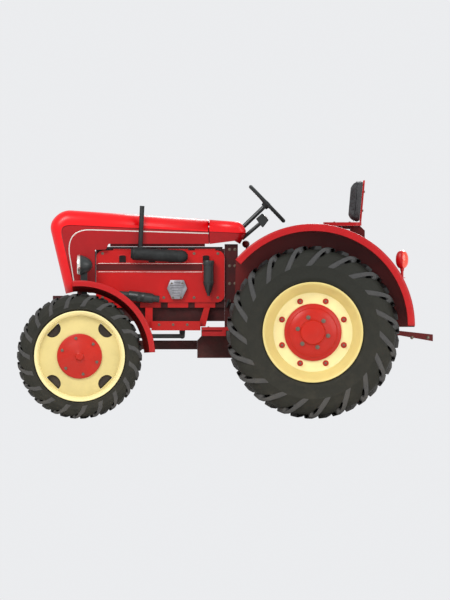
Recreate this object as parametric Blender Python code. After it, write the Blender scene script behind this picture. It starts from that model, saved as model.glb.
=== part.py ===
"""A four-wheeled farm tractor of the late 1950s, as an assembly of its separate pieces.

Metres, +Z up. The front faces -Y and the tractor's left side is +X. The origin is on the
ground, midway along the tractor and on its centre plane.
"""
from math import atan2, cos, pi, radians, sin, sqrt, tan

import bmesh
import bpy
from mathutils import Matrix, Vector

for leftover in list(bpy.data.objects):
    bpy.data.objects.remove(leftover)

# ---------------------------------------------------------------- driving dimensions
# Clearances
SEAT_GAP = 0.0003            # between pieces that are bolted or seated together
RUNNING_GAP = 0.0006         # between a shaft or pin and its bore
LINK_GAP = 0.005             # beside the open end of a linkage

# Overall sizes
OVERALL_LENGTH = 3.536       # front tyre's leading edge to the drawbar's end
WHEELBASE = 1.984
TURN_STEPS = 20              # facets round a wheel, a multiple of four

# Front wheels
FRONT_TYRE_RADIUS = 0.532
FRONT_TYRE_WIDTH = 0.200
FRONT_TRACK = 1.400
FRONT_RIM_RADIUS = 0.3865
FRONT_RIM_HALF_WIDTH = 0.080
FRONT_DISC_RADIUS = 0.345
FRONT_HUB_RADIUS = 0.1925

# Rear wheels
REAR_TYRE_RADIUS = 0.735
REAR_TYRE_WIDTH = 0.345
REAR_TRACK = 1.400
REAR_RIM_RADIUS = 0.428
REAR_RIM_HALF_WIDTH = 0.155
REAR_DISC_RADIUS = 0.3375
REAR_HUB_RADIUS = 0.2445
FLANGE_HEIGHT = 0.026        # rim edge above the tyre's seat
FLANGE_WIDTH = 0.013
RIM_WALL = 0.012
DISC_WALL = 0.014

# Steering
KINGPIN_X = 0.540
KINGPIN_RADIUS = 0.025
SLEEVE_RADIUS = 0.045
SLEEVE_HEIGHT = 0.100
STEER_ARM = 0.120            # kingpin to the drag link's eye, inboard
TIE_ARM = 0.160              # kingpin to the tie rod's eye, rearward
DROP_ARM_LENGTH = 0.100
DROP_ARM_Y = -0.3625
LINK_RADIUS = 0.0175
TIE_ROD_RADIUS = 0.015
STUD_RADIUS = 0.010
EYE_RADIUS = 0.025

# Engine, gearbox and frame
ENGINE_HALF_WIDTH = 0.200
ENGINE_TOP_Z = 1.445
ENGINE_BASE_Z = 0.945
SUMP_BASE_Z = 0.830
SUMP_HALF_WIDTH = 0.170
ENGINE_LENGTH = 1.093
PANEL_THICKNESS = 0.022
BELL_LENGTH = 0.113
GEARBOX_HALF_WIDTH = 0.150
GEARBOX_BASE_Z = 0.517
GEARBOX_TOP_Z = 1.020
FRAME_TOP_Z = 1.050
FRAME_HALF_WIDTH = 0.160
HOUSING_LENGTH = 0.370

# Hood and cowl
HOOD_HALF_WIDTH = 0.265
HOOD_WALL = 0.012
HOOD_ROUND = 0.090           # how far the crown's rounding reaches down the side
HOOD_TOP_FRONT_Z = 1.772
HOOD_TOP_REAR_Z = 1.693
HOOD_SIDE_BASE_Z = 1.487
SEAM_GAP = 0.006

# Rear fenders
FENDER_RADIUS = 0.868
FENDER_CENTRE_Z = 0.7905
FENDER_SHEET = 0.008
FENDER_INNER_X = 0.490
FENDER_OUTER_X = 0.850
FENDER_LIP = 0.062

# Front fenders
MUDGUARD_RADIUS = 0.645
MUDGUARD_HALF_WIDTH = 0.115
MUDGUARD_LIP = 0.050
MUDGUARD_WALL_DEPTH = 0.095

# Driver's place
WHEEL_RING_RADIUS = 0.198
WHEEL_TUBE_RADIUS = 0.019
COLUMN_RADIUS = 0.0185
SEAT_HALF_WIDTH = 0.230
SEAT_Z = 1.641
SEAT_THICKNESS = 0.030
BACKREST_TOP_Z = 2.027

# Places that follow from them
FRONT_AXLE_Y = -OVERALL_LENGTH / 2 + FRONT_TYRE_RADIUS
REAR_AXLE_Y = FRONT_AXLE_Y + WHEELBASE
DRAWBAR_END_Y = OVERALL_LENGTH / 2
ENGINE_FRONT_Y = FRONT_AXLE_Y + 0.140
ENGINE_REAR_Y = ENGINE_FRONT_Y + ENGINE_LENGTH
BELL_REAR_Y = ENGINE_REAR_Y + BELL_LENGTH
HOUSING_FRONT_Y = REAR_AXLE_Y - HOUSING_LENGTH / 2
HOUSING_REAR_Y = REAR_AXLE_Y + HOUSING_LENGTH / 2
SEAM_Y = ENGINE_REAR_Y - 0.130

# Looks: sRGB colour, roughness, metallic
LOOKS = {
    "bright red paint": (0xE60014, 0.35, 0.0),
    "side red paint": (0xB0050F, 0.38, 0.0),
    "panel red paint": (0xC80000, 0.40, 0.0),
    "fender red paint": (0xB4050F, 0.38, 0.0),
    "maroon casting": (0x460000, 0.55, 0.0),
    "dark red steel": (0x6E0000, 0.50, 0.0),
    "dark steel": (0x283030, 0.45, 0.6),
    "tyre rubber": (0x22231C, 0.85, 0.0),
    "cream paint": (0xDDCE92, 0.40, 0.0),
    "grey casting": (0x96969B, 0.50, 0.4),
    "lens orange": (0xEB320A, 0.25, 0.0),
    "dark cushion": (0x2B2B2C, 0.70, 0.0),
}


# ---------------------------------------------------------------- shaping
def colour_of(srgb):
    """The linear colour of an sRGB number such as 0xE60014."""
    channels = [(srgb >> shift & 255) / 255 for shift in (16, 8, 0)]
    linear = [c / 12.92 if c <= 0.04045 else ((c + 0.055) / 1.055) ** 2.4 for c in channels]
    return (*linear, 1.0)


def solid(name, bm, look=None):
    """An object from a bmesh, with its own material, its round faces shaded smooth."""
    bmesh.ops.recalc_face_normals(bm, faces=bm.faces[:])
    if bm.calc_volume(signed=True) < 0:
        bmesh.ops.reverse_faces(bm, faces=bm.faces[:])
    mesh = bpy.data.meshes.new(name)
    bm.to_mesh(mesh)
    bm.free()
    mesh.shade_smooth()
    mesh.set_sharp_from_angle(angle=radians(35))
    piece = bpy.data.objects.new(name, mesh)
    bpy.context.collection.objects.link(piece)
    if look:
        srgb, roughness, metallic = LOOKS[look]
        finish = bpy.data.materials.new(f"{name} {look}")
        finish.use_nodes = True
        shader = finish.node_tree.nodes["Principled BSDF"]
        shader.inputs["Base Color"].default_value = colour_of(srgb)
        shader.inputs["Roughness"].default_value = roughness
        shader.inputs["Metallic"].default_value = metallic
        mesh.materials.append(finish)
    return piece


def combine(target, operation, shapes):
    """Add shapes to a solid (UNION) or cut them from it (DIFFERENCE)."""
    for number, bm in enumerate(shapes):
        tool = solid(f"{target.name}_{operation.lower()}_{number}", bm)
        tool.hide_render = True
        tool.display_type = "WIRE"
        step = target.modifiers.new(f"{operation.lower()} {number}", "BOOLEAN")
        step.operation = operation
        step.solver = "EXACT"
        step.object = tool
    return target


def hang_on(parent, *children):
    """Parent the pieces, which keep their place."""
    for child in children:
        child.parent = parent
        child.location = child.location - parent.location


def set_origin(piece, point):
    """Move a solid's origin to a point on its joint's axis."""
    piece.data.transform(Matrix.Translation(-Vector(point)))
    piece.location = point
    return piece


def extruded(outline, axis, low, high):
    """A flat outline pushed along X, Y or Z. It gives the other two coordinates in order."""
    spots = {"X": lambda a, b, c: (c, a, b), "Y": lambda a, b, c: (a, c, b), "Z": lambda a, b, c: (a, b, c)}
    spot = spots[axis]
    bm = bmesh.new()
    face = bm.faces.new([bm.verts.new(spot(a, b, low)) for a, b in outline])
    moved = bmesh.ops.extrude_face_region(bm, geom=[face])["geom"]
    corners = [part for part in moved if isinstance(part, bmesh.types.BMVert)]
    bmesh.ops.translate(bm, vec=Vector(spot(0, 0, high - low)), verts=corners)
    return bm


def box(x_span, y_span, z_span):
    """A box between pairs of coordinates, given in either order."""
    outline = [(x_span[i], y_span[j]) for i, j in ((0, 0), (1, 0), (1, 1), (0, 1))]
    return extruded(outline, "Z", *z_span)


def rounded(corners, radius, steps=3):
    """The outline with its corners turned into arcs. A corner can give its own radius."""
    outline = []
    for number, corner in enumerate(corners):
        here = Vector(corner[:2])
        arc = corner[2] if len(corner) > 2 else radius
        if not arc:
            outline.append(tuple(here))
            continue
        before = (Vector(corners[number - 1][:2]) - here).normalized()
        after = (Vector(corners[(number + 1) % len(corners)][:2]) - here).normalized()
        half = before.angle(after) / 2
        middle = here + (before + after).normalized() * (arc / sin(half))
        first = here + before * (arc / tan(half)) - middle
        last = here + after * (arc / tan(half)) - middle
        turn = atan2(first.x * last.y - first.y * last.x, first.dot(last))
        for step in range(steps + 1):
            spoke = Matrix.Rotation(turn * step / steps, 2) @ first
            outline.append(tuple(middle + spoke))
    return outline


def frame_along(axis):
    """A rotation that takes +Z to the axis, and +X to +Y where the axis is the X axis."""
    axis = Vector(axis).normalized()
    if abs(axis.x) > 0.9:
        across = Vector((0, 1, 0))
    else:
        across = Vector((1, 0, 0))
    third = axis.cross(across).normalized()
    across = third.cross(axis)
    return Matrix((across, third, axis)).transposed().to_4x4()


def turned(profile, centre, axis=(1, 0, 0), steps=TURN_STEPS):
    """A profile of (along, radius) points turned about an axis, with flats facing up and down."""
    bm = bmesh.new()
    grow = 1 / cos(pi / steps)
    spots = [bm.verts.new((radius * grow, 0, along)) for along, radius in profile]
    edges = [bm.edges.new(pair) for pair in zip(spots, spots[1:])]
    if profile[0][1] > 0:
        edges.append(bm.edges.new((spots[-1], spots[0])))
    bmesh.ops.rotate(bm, verts=spots, matrix=Matrix.Rotation(pi / steps, 3, "Z"))
    bmesh.ops.spin(bm, geom=spots + edges, axis=(0, 0, 1), angle=2 * pi, steps=steps, use_merge=True)
    bmesh.ops.remove_doubles(bm, verts=bm.verts[:], dist=1e-6)
    bm.transform(Matrix.Translation(centre) @ frame_along(axis))
    return bm


def swept(profile, centre, first_angle, last_angle, steps):
    """A closed profile of (x, radius) points swept round an X axis; angles go from +Y to +Z."""
    bm = bmesh.new()
    spots = [bm.verts.new((x, radius, 0)) for x, radius in profile]
    face = bm.faces.new(spots)
    bmesh.ops.rotate(bm, verts=spots, matrix=Matrix.Rotation(first_angle, 3, "X"))
    turn = last_angle - first_angle
    bmesh.ops.spin(bm, geom=[face], axis=(1, 0, 0), angle=turn, steps=steps)
    bm.transform(Matrix.Translation(centre))
    return bm


def bar(start, end, radius, steps=12, end_radius=None):
    """A round bar between two points."""
    start, end = Vector(start), Vector(end)
    length = (end - start).length
    last = radius if end_radius is None else end_radius
    profile = [(0, 0), (0, radius), (length, last), (length, 0)]
    return turned(profile, start, end - start, steps)


def arc_points(centre, radius, first_angle, last_angle, steps):
    """Points round an arc in a flat outline."""
    angles = [first_angle + (last_angle - first_angle) * step / steps for step in range(steps + 1)]
    return [(centre[0] + radius * cos(a), centre[1] + radius * sin(a)) for a in angles]


def spread(low, high, count):
    """Evenly spaced values from low to high."""
    return [low + (high - low) * step / (count - 1) for step in range(count)]


SIDES = (("left", 1), ("right", -1))

# ---------------------------------------------------------------- wheels
def tyre_profile(radius, width, rim_radius, rim_half_width):
    """A tyre's section, from the bead round the sidewalls and the tread."""
    half = width / 2
    seat = rim_radius - FLANGE_HEIGHT + SEAT_GAP
    bead = rim_radius + SEAT_GAP
    height = radius - bead
    inside = rim_half_width - FLANGE_WIDTH - SEAT_GAP
    outer_half = [(inside, seat), (inside, bead), (half * 0.95, bead + height * 0.22)]
    outer_half += [(half, bead + height * 0.48), (half * 0.90, bead + height * 0.88), (half * 0.60, radius)]
    return outer_half + [(-u, r) for u, r in reversed(outer_half)]


def rim_profile(rim_radius, rim_half_width, disc_radius, disc_face, back):
    """The outline of a rim and its disc, from the disc's back round the rim to its face."""
    well = rim_radius - FLANGE_HEIGHT
    flange = rim_half_width - FLANGE_WIDTH
    inner = well - RIM_WALL
    return [
        (disc_face - DISC_WALL, back), (disc_face - DISC_WALL, disc_radius - 0.012),
        (disc_face - 3 * DISC_WALL, inner), (-flange, inner), (-rim_half_width, rim_radius - RIM_WALL),
        (-rim_half_width, rim_radius), (-flange, rim_radius), (-flange, well), (flange, well),
        (flange, rim_radius), (rim_half_width, rim_radius), (rim_half_width, rim_radius - RIM_WALL),
        (disc_face + 0.012, disc_radius + 0.004), (disc_face, disc_radius),
    ]


FRONT_HUB_BORE = 0.0286
FRONT_HUB_DEPTH = 0.045       # spindle's reach past the wheel's middle
SPINDLE_RADIUS = FRONT_HUB_BORE - RUNNING_GAP
REAR_SHAFT_RADIUS = 0.045
REAR_SHAFT_END_X = 0.440
AXLE_FLANGE_X = FENDER_INNER_X - SEAT_GAP


def front_wheel_profile():
    """Hub with a blind bore for the spindle, disc and rim; +u faces outwards."""
    profile = [(FRONT_HUB_DEPTH, 0), (FRONT_HUB_DEPTH, FRONT_HUB_BORE), (-0.050, FRONT_HUB_BORE), (-0.050, 0.060)]
    profile += rim_profile(FRONT_RIM_RADIUS, FRONT_RIM_HALF_WIDTH, FRONT_DISC_RADIUS, 0.020, 0.070)
    profile += [(0.020, FRONT_HUB_RADIUS), (0.036, FRONT_HUB_RADIUS - 0.008), (0.052, 0.120), (0.066, 0.062)]
    return profile + [(0.074, 0.036), (0.092, 0.034), (0.094, 0)]


def rear_wheel_profile():
    """Axle shaft, hub, disc and rim; +u faces outwards."""
    shaft_end = REAR_SHAFT_END_X - REAR_TRACK / 2
    profile = [(shaft_end, 0), (shaft_end, REAR_SHAFT_RADIUS), (-0.060, REAR_SHAFT_RADIUS), (-0.040, 0.110)]
    profile += rim_profile(REAR_RIM_RADIUS, REAR_RIM_HALF_WIDTH, REAR_DISC_RADIUS, 0.030, 0.120)
    profile += [(0.030, REAR_HUB_RADIUS), (0.048, REAR_HUB_RADIUS - 0.006), (0.078, 0.170), (0.092, 0.110)]
    return profile + [(0.112, 0.100), (0.118, 0.050), (0.120, 0)]


for side, sign in SIDES:
    front = (sign * FRONT_TRACK / 2, FRONT_AXLE_Y, FRONT_TYRE_RADIUS)
    rear = (sign * REAR_TRACK / 2, REAR_AXLE_Y, REAR_TYRE_RADIUS)
    tyre = tyre_profile(FRONT_TYRE_RADIUS, FRONT_TYRE_WIDTH, FRONT_RIM_RADIUS, FRONT_RIM_HALF_WIDTH)
    front_tyre = solid(f"front_tyre_{side}", turned(tyre, front), "tyre rubber")
    outward = [(sign * u, r) for u, r in front_wheel_profile()]
    front_wheel = solid(f"front_wheel_{side}", turned(outward, front), "cream paint")
    tyre = tyre_profile(REAR_TYRE_RADIUS, REAR_TYRE_WIDTH, REAR_RIM_RADIUS, REAR_RIM_HALF_WIDTH)
    rear_tyre = solid(f"rear_tyre_{side}", turned(tyre, rear), "tyre rubber")
    outward = [(sign * u, r) for u, r in rear_wheel_profile()]
    rear_wheel = solid(f"rear_wheel_{side}", turned(outward, rear), "cream paint")
    for wheel, tyre, centre in ((front_wheel, front_tyre, front), (rear_wheel, rear_tyre, rear)):
        set_origin(wheel, centre)
        set_origin(tyre, centre)
        hang_on(wheel, tyre)

# ---------------------------------------------------------------- front axle and steering
AXLE_BASE_Z = FRONT_TYRE_RADIUS + 0.043
AXLE_TOP_Z = AXLE_BASE_Z + 0.080
SLEEVE_BASE_Z = FRONT_TYRE_RADIUS + 0.033
SLEEVE_TOP_Z = SLEEVE_BASE_Z + SLEEVE_HEIGHT
ARM_BASE_Z = SLEEVE_TOP_Z + 0.063
ARM_TOP_Z = ARM_BASE_Z + 0.022
LINK_Z = ARM_BASE_Z - 0.0255
TIE_Z = ARM_TOP_Z + 0.021
AXLE_HALF_DEPTH = 0.044
PIVOT_RADIUS = 0.020
PIVOT_Z = AXLE_BASE_Z + 0.065
EAR_THICKNESS = 0.040

beam_outline = [
    (-KINGPIN_X + 0.030, AXLE_BASE_Z), (KINGPIN_X - 0.030, AXLE_BASE_Z), (KINGPIN_X - 0.030, AXLE_TOP_Z),
    (0.120, PIVOT_Z + 0.050), (-0.120, PIVOT_Z + 0.050), (-KINGPIN_X + 0.030, AXLE_TOP_Z),
]
beam_span = (FRONT_AXLE_Y - AXLE_HALF_DEPTH, FRONT_AXLE_Y + AXLE_HALF_DEPTH)
front_axle = solid("front_axle", extruded(beam_outline, "Y", *beam_span), "maroon casting")
pin_reach = AXLE_HALF_DEPTH + EAR_THICKNESS + 0.010
pivot_ends = [(0, FRONT_AXLE_Y + reach, PIVOT_Z) for reach in (-pin_reach, pin_reach)]
axle_extras = [bar(*pivot_ends, PIVOT_RADIUS, 16)]
for side, sign in SIDES:
    kingpin_foot = (sign * KINGPIN_X, FRONT_AXLE_Y, SLEEVE_BASE_Z)
    kingpin_head = (sign * KINGPIN_X, FRONT_AXLE_Y, SLEEVE_TOP_Z)
    axle_extras.append(bar(kingpin_foot, kingpin_head, SLEEVE_RADIUS, 20))
combine(front_axle, "UNION", axle_extras)
axle_bores = []
for side, sign in SIDES:
    low = (sign * KINGPIN_X, FRONT_AXLE_Y, SLEEVE_BASE_Z - 0.02)
    high = (sign * KINGPIN_X, FRONT_AXLE_Y, SLEEVE_TOP_Z + 0.02)
    axle_bores.append(bar(low, high, KINGPIN_RADIUS + RUNNING_GAP, 16))
combine(front_axle, "DIFFERENCE", axle_bores)

ARM_HALF_WIDTH = 0.025
TIE_EYE_Y = FRONT_AXLE_Y + TIE_ARM
DRAG_EYE_X = KINGPIN_X - STEER_ARM
for side, sign in SIDES:
    pin = [(sign * KINGPIN_X, FRONT_AXLE_Y, z) for z in (FRONT_TYRE_RADIUS - 0.034, ARM_TOP_Z)]
    knuckle = solid(f"knuckle_{side}", bar(*pin, KINGPIN_RADIUS, 16), "dark steel")
    block = box(
        (sign * (KINGPIN_X - 0.034), sign * (KINGPIN_X + 0.060)),
        (FRONT_AXLE_Y - 0.034, FRONT_AXLE_Y + 0.034),
        (FRONT_TYRE_RADIUS - 0.037, SLEEVE_BASE_Z - RUNNING_GAP),
    )
    spindle_end = FRONT_TRACK / 2 + FRONT_HUB_DEPTH - 0.004
    spindle = [(sign * x, FRONT_AXLE_Y, FRONT_TYRE_RADIUS) for x in (KINGPIN_X + 0.030, spindle_end)]
    reach = STEER_ARM + ARM_HALF_WIDTH if side == "left" else ARM_HALF_WIDTH + 0.008
    arm_outline = [
        (sign * (KINGPIN_X - reach), FRONT_AXLE_Y - ARM_HALF_WIDTH),
        (sign * (KINGPIN_X + 0.035), FRONT_AXLE_Y - ARM_HALF_WIDTH),
        (sign * (KINGPIN_X + 0.035), FRONT_AXLE_Y + ARM_HALF_WIDTH),
        (sign * (KINGPIN_X + ARM_HALF_WIDTH), TIE_EYE_Y + ARM_HALF_WIDTH),
        (sign * (KINGPIN_X - ARM_HALF_WIDTH), TIE_EYE_Y + ARM_HALF_WIDTH),
        (sign * (KINGPIN_X - ARM_HALF_WIDTH - 0.006), FRONT_AXLE_Y + ARM_HALF_WIDTH),
        (sign * (KINGPIN_X - reach), FRONT_AXLE_Y + ARM_HALF_WIDTH),
    ]
    arm = extruded(arm_outline, "Z", ARM_BASE_Z, ARM_TOP_Z - 0.002)
    tie_stud = [(sign * KINGPIN_X, TIE_EYE_Y, z) for z in (ARM_BASE_Z + 0.005, TIE_Z + TIE_ROD_RADIUS + 0.004)]
    shapes = [block, bar(*spindle, SPINDLE_RADIUS, 16), arm, bar(*tie_stud, STUD_RADIUS, 12)]
    if side == "left":
        drag_stud = [(DRAG_EYE_X, FRONT_AXLE_Y, z) for z in (LINK_Z - 0.024, ARM_BASE_Z + 0.005)]
        shapes.append(bar(*drag_stud, STUD_RADIUS, 12))
    combine(knuckle, "UNION", shapes)
    set_origin(knuckle, (sign * KINGPIN_X, FRONT_AXLE_Y, FRONT_TYRE_RADIUS))
    hang_on(knuckle, bpy.data.objects[f"front_wheel_{side}"])

tie_ends = [(sign * KINGPIN_X, TIE_EYE_Y, TIE_Z) for side, sign in SIDES]
tie_rod = solid("tie_rod", bar(*tie_ends, TIE_ROD_RADIUS, 10), "dark steel")
eyes = []
for end in tie_ends:
    low, high = [(end[0], end[1], TIE_Z + rise) for rise in (-TIE_ROD_RADIUS - 0.003, TIE_ROD_RADIUS + 0.003)]
    eyes.append(bar(low, high, EYE_RADIUS, 16))
combine(tie_rod, "UNION", eyes)
stud_bores = []
for end in tie_ends:
    low, high = [(end[0], end[1], TIE_Z + rise) for rise in (-0.05, 0.05)]
    stud_bores.append(bar(low, high, STUD_RADIUS + RUNNING_GAP, 12))
combine(tie_rod, "DIFFERENCE", stud_bores)
set_origin(tie_rod, tie_ends[0])
hang_on(bpy.data.objects["knuckle_left"], tie_rod)

# Drop arm: it swings on the steering box's shaft; the drag link's rear eye lies beside its foot
DROP_ARM_INNER_X = 0.188
DROP_ARM_THICKNESS = 0.014
DROP_PIVOT_Z = LINK_Z + DROP_ARM_LENGTH
DROP_SHAFT_RADIUS = 0.014
STEERING_BOX_OUTER_X = 0.186
LINK_EYE_WIDTH = 0.020
LINK_REAR_X = DROP_ARM_INNER_X + DROP_ARM_THICKNESS + LINK_GAP + LINK_EYE_WIDTH / 2

foot = arc_points((DROP_ARM_Y, LINK_Z), 0.022, pi, 2 * pi, 6)
head = arc_points((DROP_ARM_Y, DROP_PIVOT_Z), 0.028, 0, pi, 6)
arm_span = (DROP_ARM_INNER_X, DROP_ARM_INNER_X + DROP_ARM_THICKNESS)
drop_arm = solid("drop_arm", extruded(foot + head, "X", *arm_span), "dark steel")
shaft = [(x, DROP_ARM_Y, DROP_PIVOT_Z) for x in (0.130, DROP_ARM_INNER_X + 0.007)]
combine(drop_arm, "UNION", [bar(*shaft, DROP_SHAFT_RADIUS, 16)])
set_origin(drop_arm, (DROP_ARM_INNER_X, DROP_ARM_Y, DROP_PIVOT_Z))

link_front = (DRAG_EYE_X, FRONT_AXLE_Y, LINK_Z)
link_rear = (LINK_REAR_X, DROP_ARM_Y, LINK_Z)
drag_link = solid("drag_link", bar(link_front, link_rear, LINK_RADIUS, 10), "dark steel")
front_eye = [(DRAG_EYE_X, FRONT_AXLE_Y, LINK_Z + rise) for rise in (-0.020, 0.020)]
rear_eye = [(LINK_REAR_X + shift, DROP_ARM_Y, LINK_Z) for shift in (-LINK_EYE_WIDTH / 2, LINK_EYE_WIDTH / 2)]
combine(drag_link, "UNION", [bar(*front_eye, EYE_RADIUS, 16), bar(*rear_eye, 0.022, 16)])
bore = [(DRAG_EYE_X, FRONT_AXLE_Y, LINK_Z + rise) for rise in (-0.05, 0.05)]
past_eye = box((LINK_REAR_X - 0.05, LINK_REAR_X + 0.05), (DROP_ARM_Y + 0.0215, DROP_ARM_Y + 0.1), (LINK_Z - 0.1, LINK_Z + 0.1))
beside_arm = box((0.10, LINK_REAR_X - LINK_EYE_WIDTH / 2), (DROP_ARM_Y - 0.15, DROP_ARM_Y + 0.1), (LINK_Z - 0.1, LINK_Z + 0.1))
combine(drag_link, "DIFFERENCE", [bar(*bore, STUD_RADIUS + RUNNING_GAP, 12), past_eye, beside_arm])
set_origin(drag_link, link_front)
hang_on(bpy.data.objects["knuckle_left"], drag_link)

STEERING_BOX_TOP_Z = SUMP_BASE_Z - SEAT_GAP
steering_box = solid(
    "steering_box",
    box((0.090, STEERING_BOX_OUTER_X), (DROP_ARM_Y - 0.085, DROP_ARM_Y + 0.085), (DROP_PIVOT_Z - 0.045, STEERING_BOX_TOP_Z)),
    "maroon casting",
)
shaft = [(x, DROP_ARM_Y, DROP_PIVOT_Z) for x in (0.126, STEERING_BOX_OUTER_X + 0.05)]
combine(steering_box, "DIFFERENCE", [bar(*shaft, DROP_SHAFT_RADIUS + RUNNING_GAP, 16)])

# Front fenders: a crown, an outer lip and an inner wall, on a stay from the steering arm
for side, sign in SIDES:
    low = FRONT_TRACK / 2 - MUDGUARD_HALF_WIDTH
    high = FRONT_TRACK / 2 + MUDGUARD_HALF_WIDTH
    outer, inner = MUDGUARD_RADIUS, MUDGUARD_RADIUS - FENDER_SHEET
    section = [
        (low, outer), (high, outer), (high, outer - MUDGUARD_LIP), (high - FENDER_SHEET, outer - MUDGUARD_LIP),
        (high - FENDER_SHEET, inner), (low + FENDER_SHEET, inner),
        (low + FENDER_SHEET, outer - MUDGUARD_WALL_DEPTH), (low, outer - MUDGUARD_WALL_DEPTH),
    ]
    section = [(sign * x, r) for x, r in section]
    # swept() turns a profile that starts along +Y
    centre = (0, FRONT_AXLE_Y, FRONT_TYRE_RADIUS)
    mudguard = solid(f"front_fender_{side}", swept(section, centre, radians(3), radians(96), 11), "fender red paint")
    stay = box(
        (sign * (KINGPIN_X + 0.008), sign * (low + FENDER_SHEET / 2)),
        (FRONT_AXLE_Y - 0.020, FRONT_AXLE_Y + 0.020),
        (ARM_TOP_Z + SEAT_GAP, FRONT_TYRE_RADIUS + outer - MUDGUARD_WALL_DEPTH + 0.060),
    )
    combine(mudguard, "UNION", [stay])
    knuckle = bpy.data.objects[f"knuckle_{side}"]
    set_origin(mudguard, knuckle.location)
    hang_on(knuckle, mudguard)

# ---------------------------------------------------------------- frame, engine and gearbox
# Front frame: it carries the radiator, the tow lug and the axle's pivot between two ears
FRAME_FRONT_Y = FRONT_AXLE_Y - 0.124
FRAME_BASE_Z = 0.800
frame_span = (FRAME_FRONT_Y, ENGINE_FRONT_Y - SEAT_GAP)
frame_block = box((-FRAME_HALF_WIDTH, FRAME_HALF_WIDTH), frame_span, (FRAME_BASE_Z, FRAME_TOP_Z))
front_frame = solid("front_frame", frame_block, "maroon casting")
ears = []
for front_or_back in (-1, 1):
    inner = FRONT_AXLE_Y + front_or_back * (AXLE_HALF_DEPTH + SEAT_GAP)
    outer = inner + front_or_back * EAR_THICKNESS
    ears.append(box((-0.070, 0.070), (inner, outer), (PIVOT_Z - 0.055, FRAME_BASE_Z + 0.020)))
tow_lug = rounded([(-0.050, FRAME_FRONT_Y + 0.02), (-0.032, FRAME_FRONT_Y - 0.103, 0.02),
                   (0.032, FRAME_FRONT_Y - 0.103, 0.02), (0.050, FRAME_FRONT_Y + 0.02)], 0)
combine(front_frame, "UNION", ears + [extruded(tow_lug, "Z", FRAME_TOP_Z - 0.040, FRAME_TOP_Z - 0.004)])
pivot_ends = [(0, FRONT_AXLE_Y + reach, PIVOT_Z) for reach in (-0.2, 0.2)]
combine(front_frame, "DIFFERENCE", [bar(*pivot_ends, PIVOT_RADIUS + RUNNING_GAP, 16)])

RADIATOR_HALF_WIDTH = 0.200
RADIATOR_TOP_Z = 1.570
radiator_span = (FRONT_AXLE_Y - 0.014, FRONT_AXLE_Y + 0.066)
radiator_box = box((-RADIATOR_HALF_WIDTH, RADIATOR_HALF_WIDTH), radiator_span, (FRAME_TOP_Z + SEAT_GAP, RADIATOR_TOP_Z))
radiator = solid("radiator", radiator_box, "dark steel")

engine_outline = [
    (-SUMP_HALF_WIDTH, SUMP_BASE_Z), (SUMP_HALF_WIDTH, SUMP_BASE_Z), (SUMP_HALF_WIDTH, ENGINE_BASE_Z),
    (ENGINE_HALF_WIDTH, ENGINE_BASE_Z), (ENGINE_HALF_WIDTH, ENGINE_TOP_Z), (-ENGINE_HALF_WIDTH, ENGINE_TOP_Z),
    (-ENGINE_HALF_WIDTH, ENGINE_BASE_Z), (-SUMP_HALF_WIDTH, ENGINE_BASE_Z),
]
engine_block = solid("engine_block", extruded(engine_outline, "Y", ENGINE_FRONT_Y, ENGINE_REAR_Y), "maroon casting")

# Engine side panels: a rounded plate with a recessed band and tabs above and below
PANEL_BASE_Z = 0.990
PANEL_TOP_Z = 1.431
PANEL_CORNER = 0.060
BAND_BASE_Z = 1.259
BAND_HEIGHT = 0.055
BAND_REAR_Y = ENGINE_REAR_Y - 0.187
PANEL_OUTER_X = ENGINE_HALF_WIDTH + SEAT_GAP + PANEL_THICKNESS
TAB_STARTS = [ENGINE_FRONT_Y + offset for offset in (0.147, 0.376, 0.610, 0.840)]
TAB_LENGTH = 0.174
for side, sign in SIDES:
    corners = [
        (ENGINE_FRONT_Y, PANEL_BASE_Z, 0), (ENGINE_REAR_Y, PANEL_BASE_Z), (ENGINE_REAR_Y, PANEL_TOP_Z),
        (ENGINE_FRONT_Y, PANEL_TOP_Z),
    ]
    panel_span = (sign * (ENGINE_HALF_WIDTH + SEAT_GAP), sign * PANEL_OUTER_X)
    panel = solid(f"engine_panel_{side}", extruded(rounded(corners, PANEL_CORNER), "X", *panel_span), "panel red paint")
    tabs = []
    tab_span = (sign * (ENGINE_HALF_WIDTH + SEAT_GAP), sign * (PANEL_OUTER_X - 0.010))
    for start in TAB_STARTS:
        for low, high in ((PANEL_TOP_Z - 0.02, ENGINE_TOP_Z), (ENGINE_BASE_Z, PANEL_BASE_Z + 0.02)):
            tabs.append(box(tab_span, (start, start + TAB_LENGTH), (low, high)))
    combine(panel, "UNION", tabs)
    band = box(
        (sign * (PANEL_OUTER_X - 0.006), sign * (PANEL_OUTER_X + 0.05)),
        (ENGINE_FRONT_Y - 0.05, BAND_REAR_Y), (BAND_BASE_Z, BAND_BASE_Z + BAND_HEIGHT),
    )
    combine(panel, "DIFFERENCE", [band])

# Bolted to the left panel: fuel filter, injection pump cover, starter, exhaust
OUTSIDE_X = PANEL_OUTER_X + SEAT_GAP
FILTER_RADIUS = 0.049
FILTER_Y = ENGINE_REAR_Y - 0.136
filter_profile = [(0, 0), (0, 0.012), (0.090, FILTER_RADIUS * 0.9), (0.271, FILTER_RADIUS * 0.9)]
filter_profile += [(0.271, FILTER_RADIUS), (0.303, FILTER_RADIUS), (0.303, 0)]
filter_centre = (OUTSIDE_X + FILTER_RADIUS, FILTER_Y, 1.044)
fuel_filter = solid("fuel_filter", turned(filter_profile, filter_centre, (0, 0, 1), 20), "dark steel")

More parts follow.
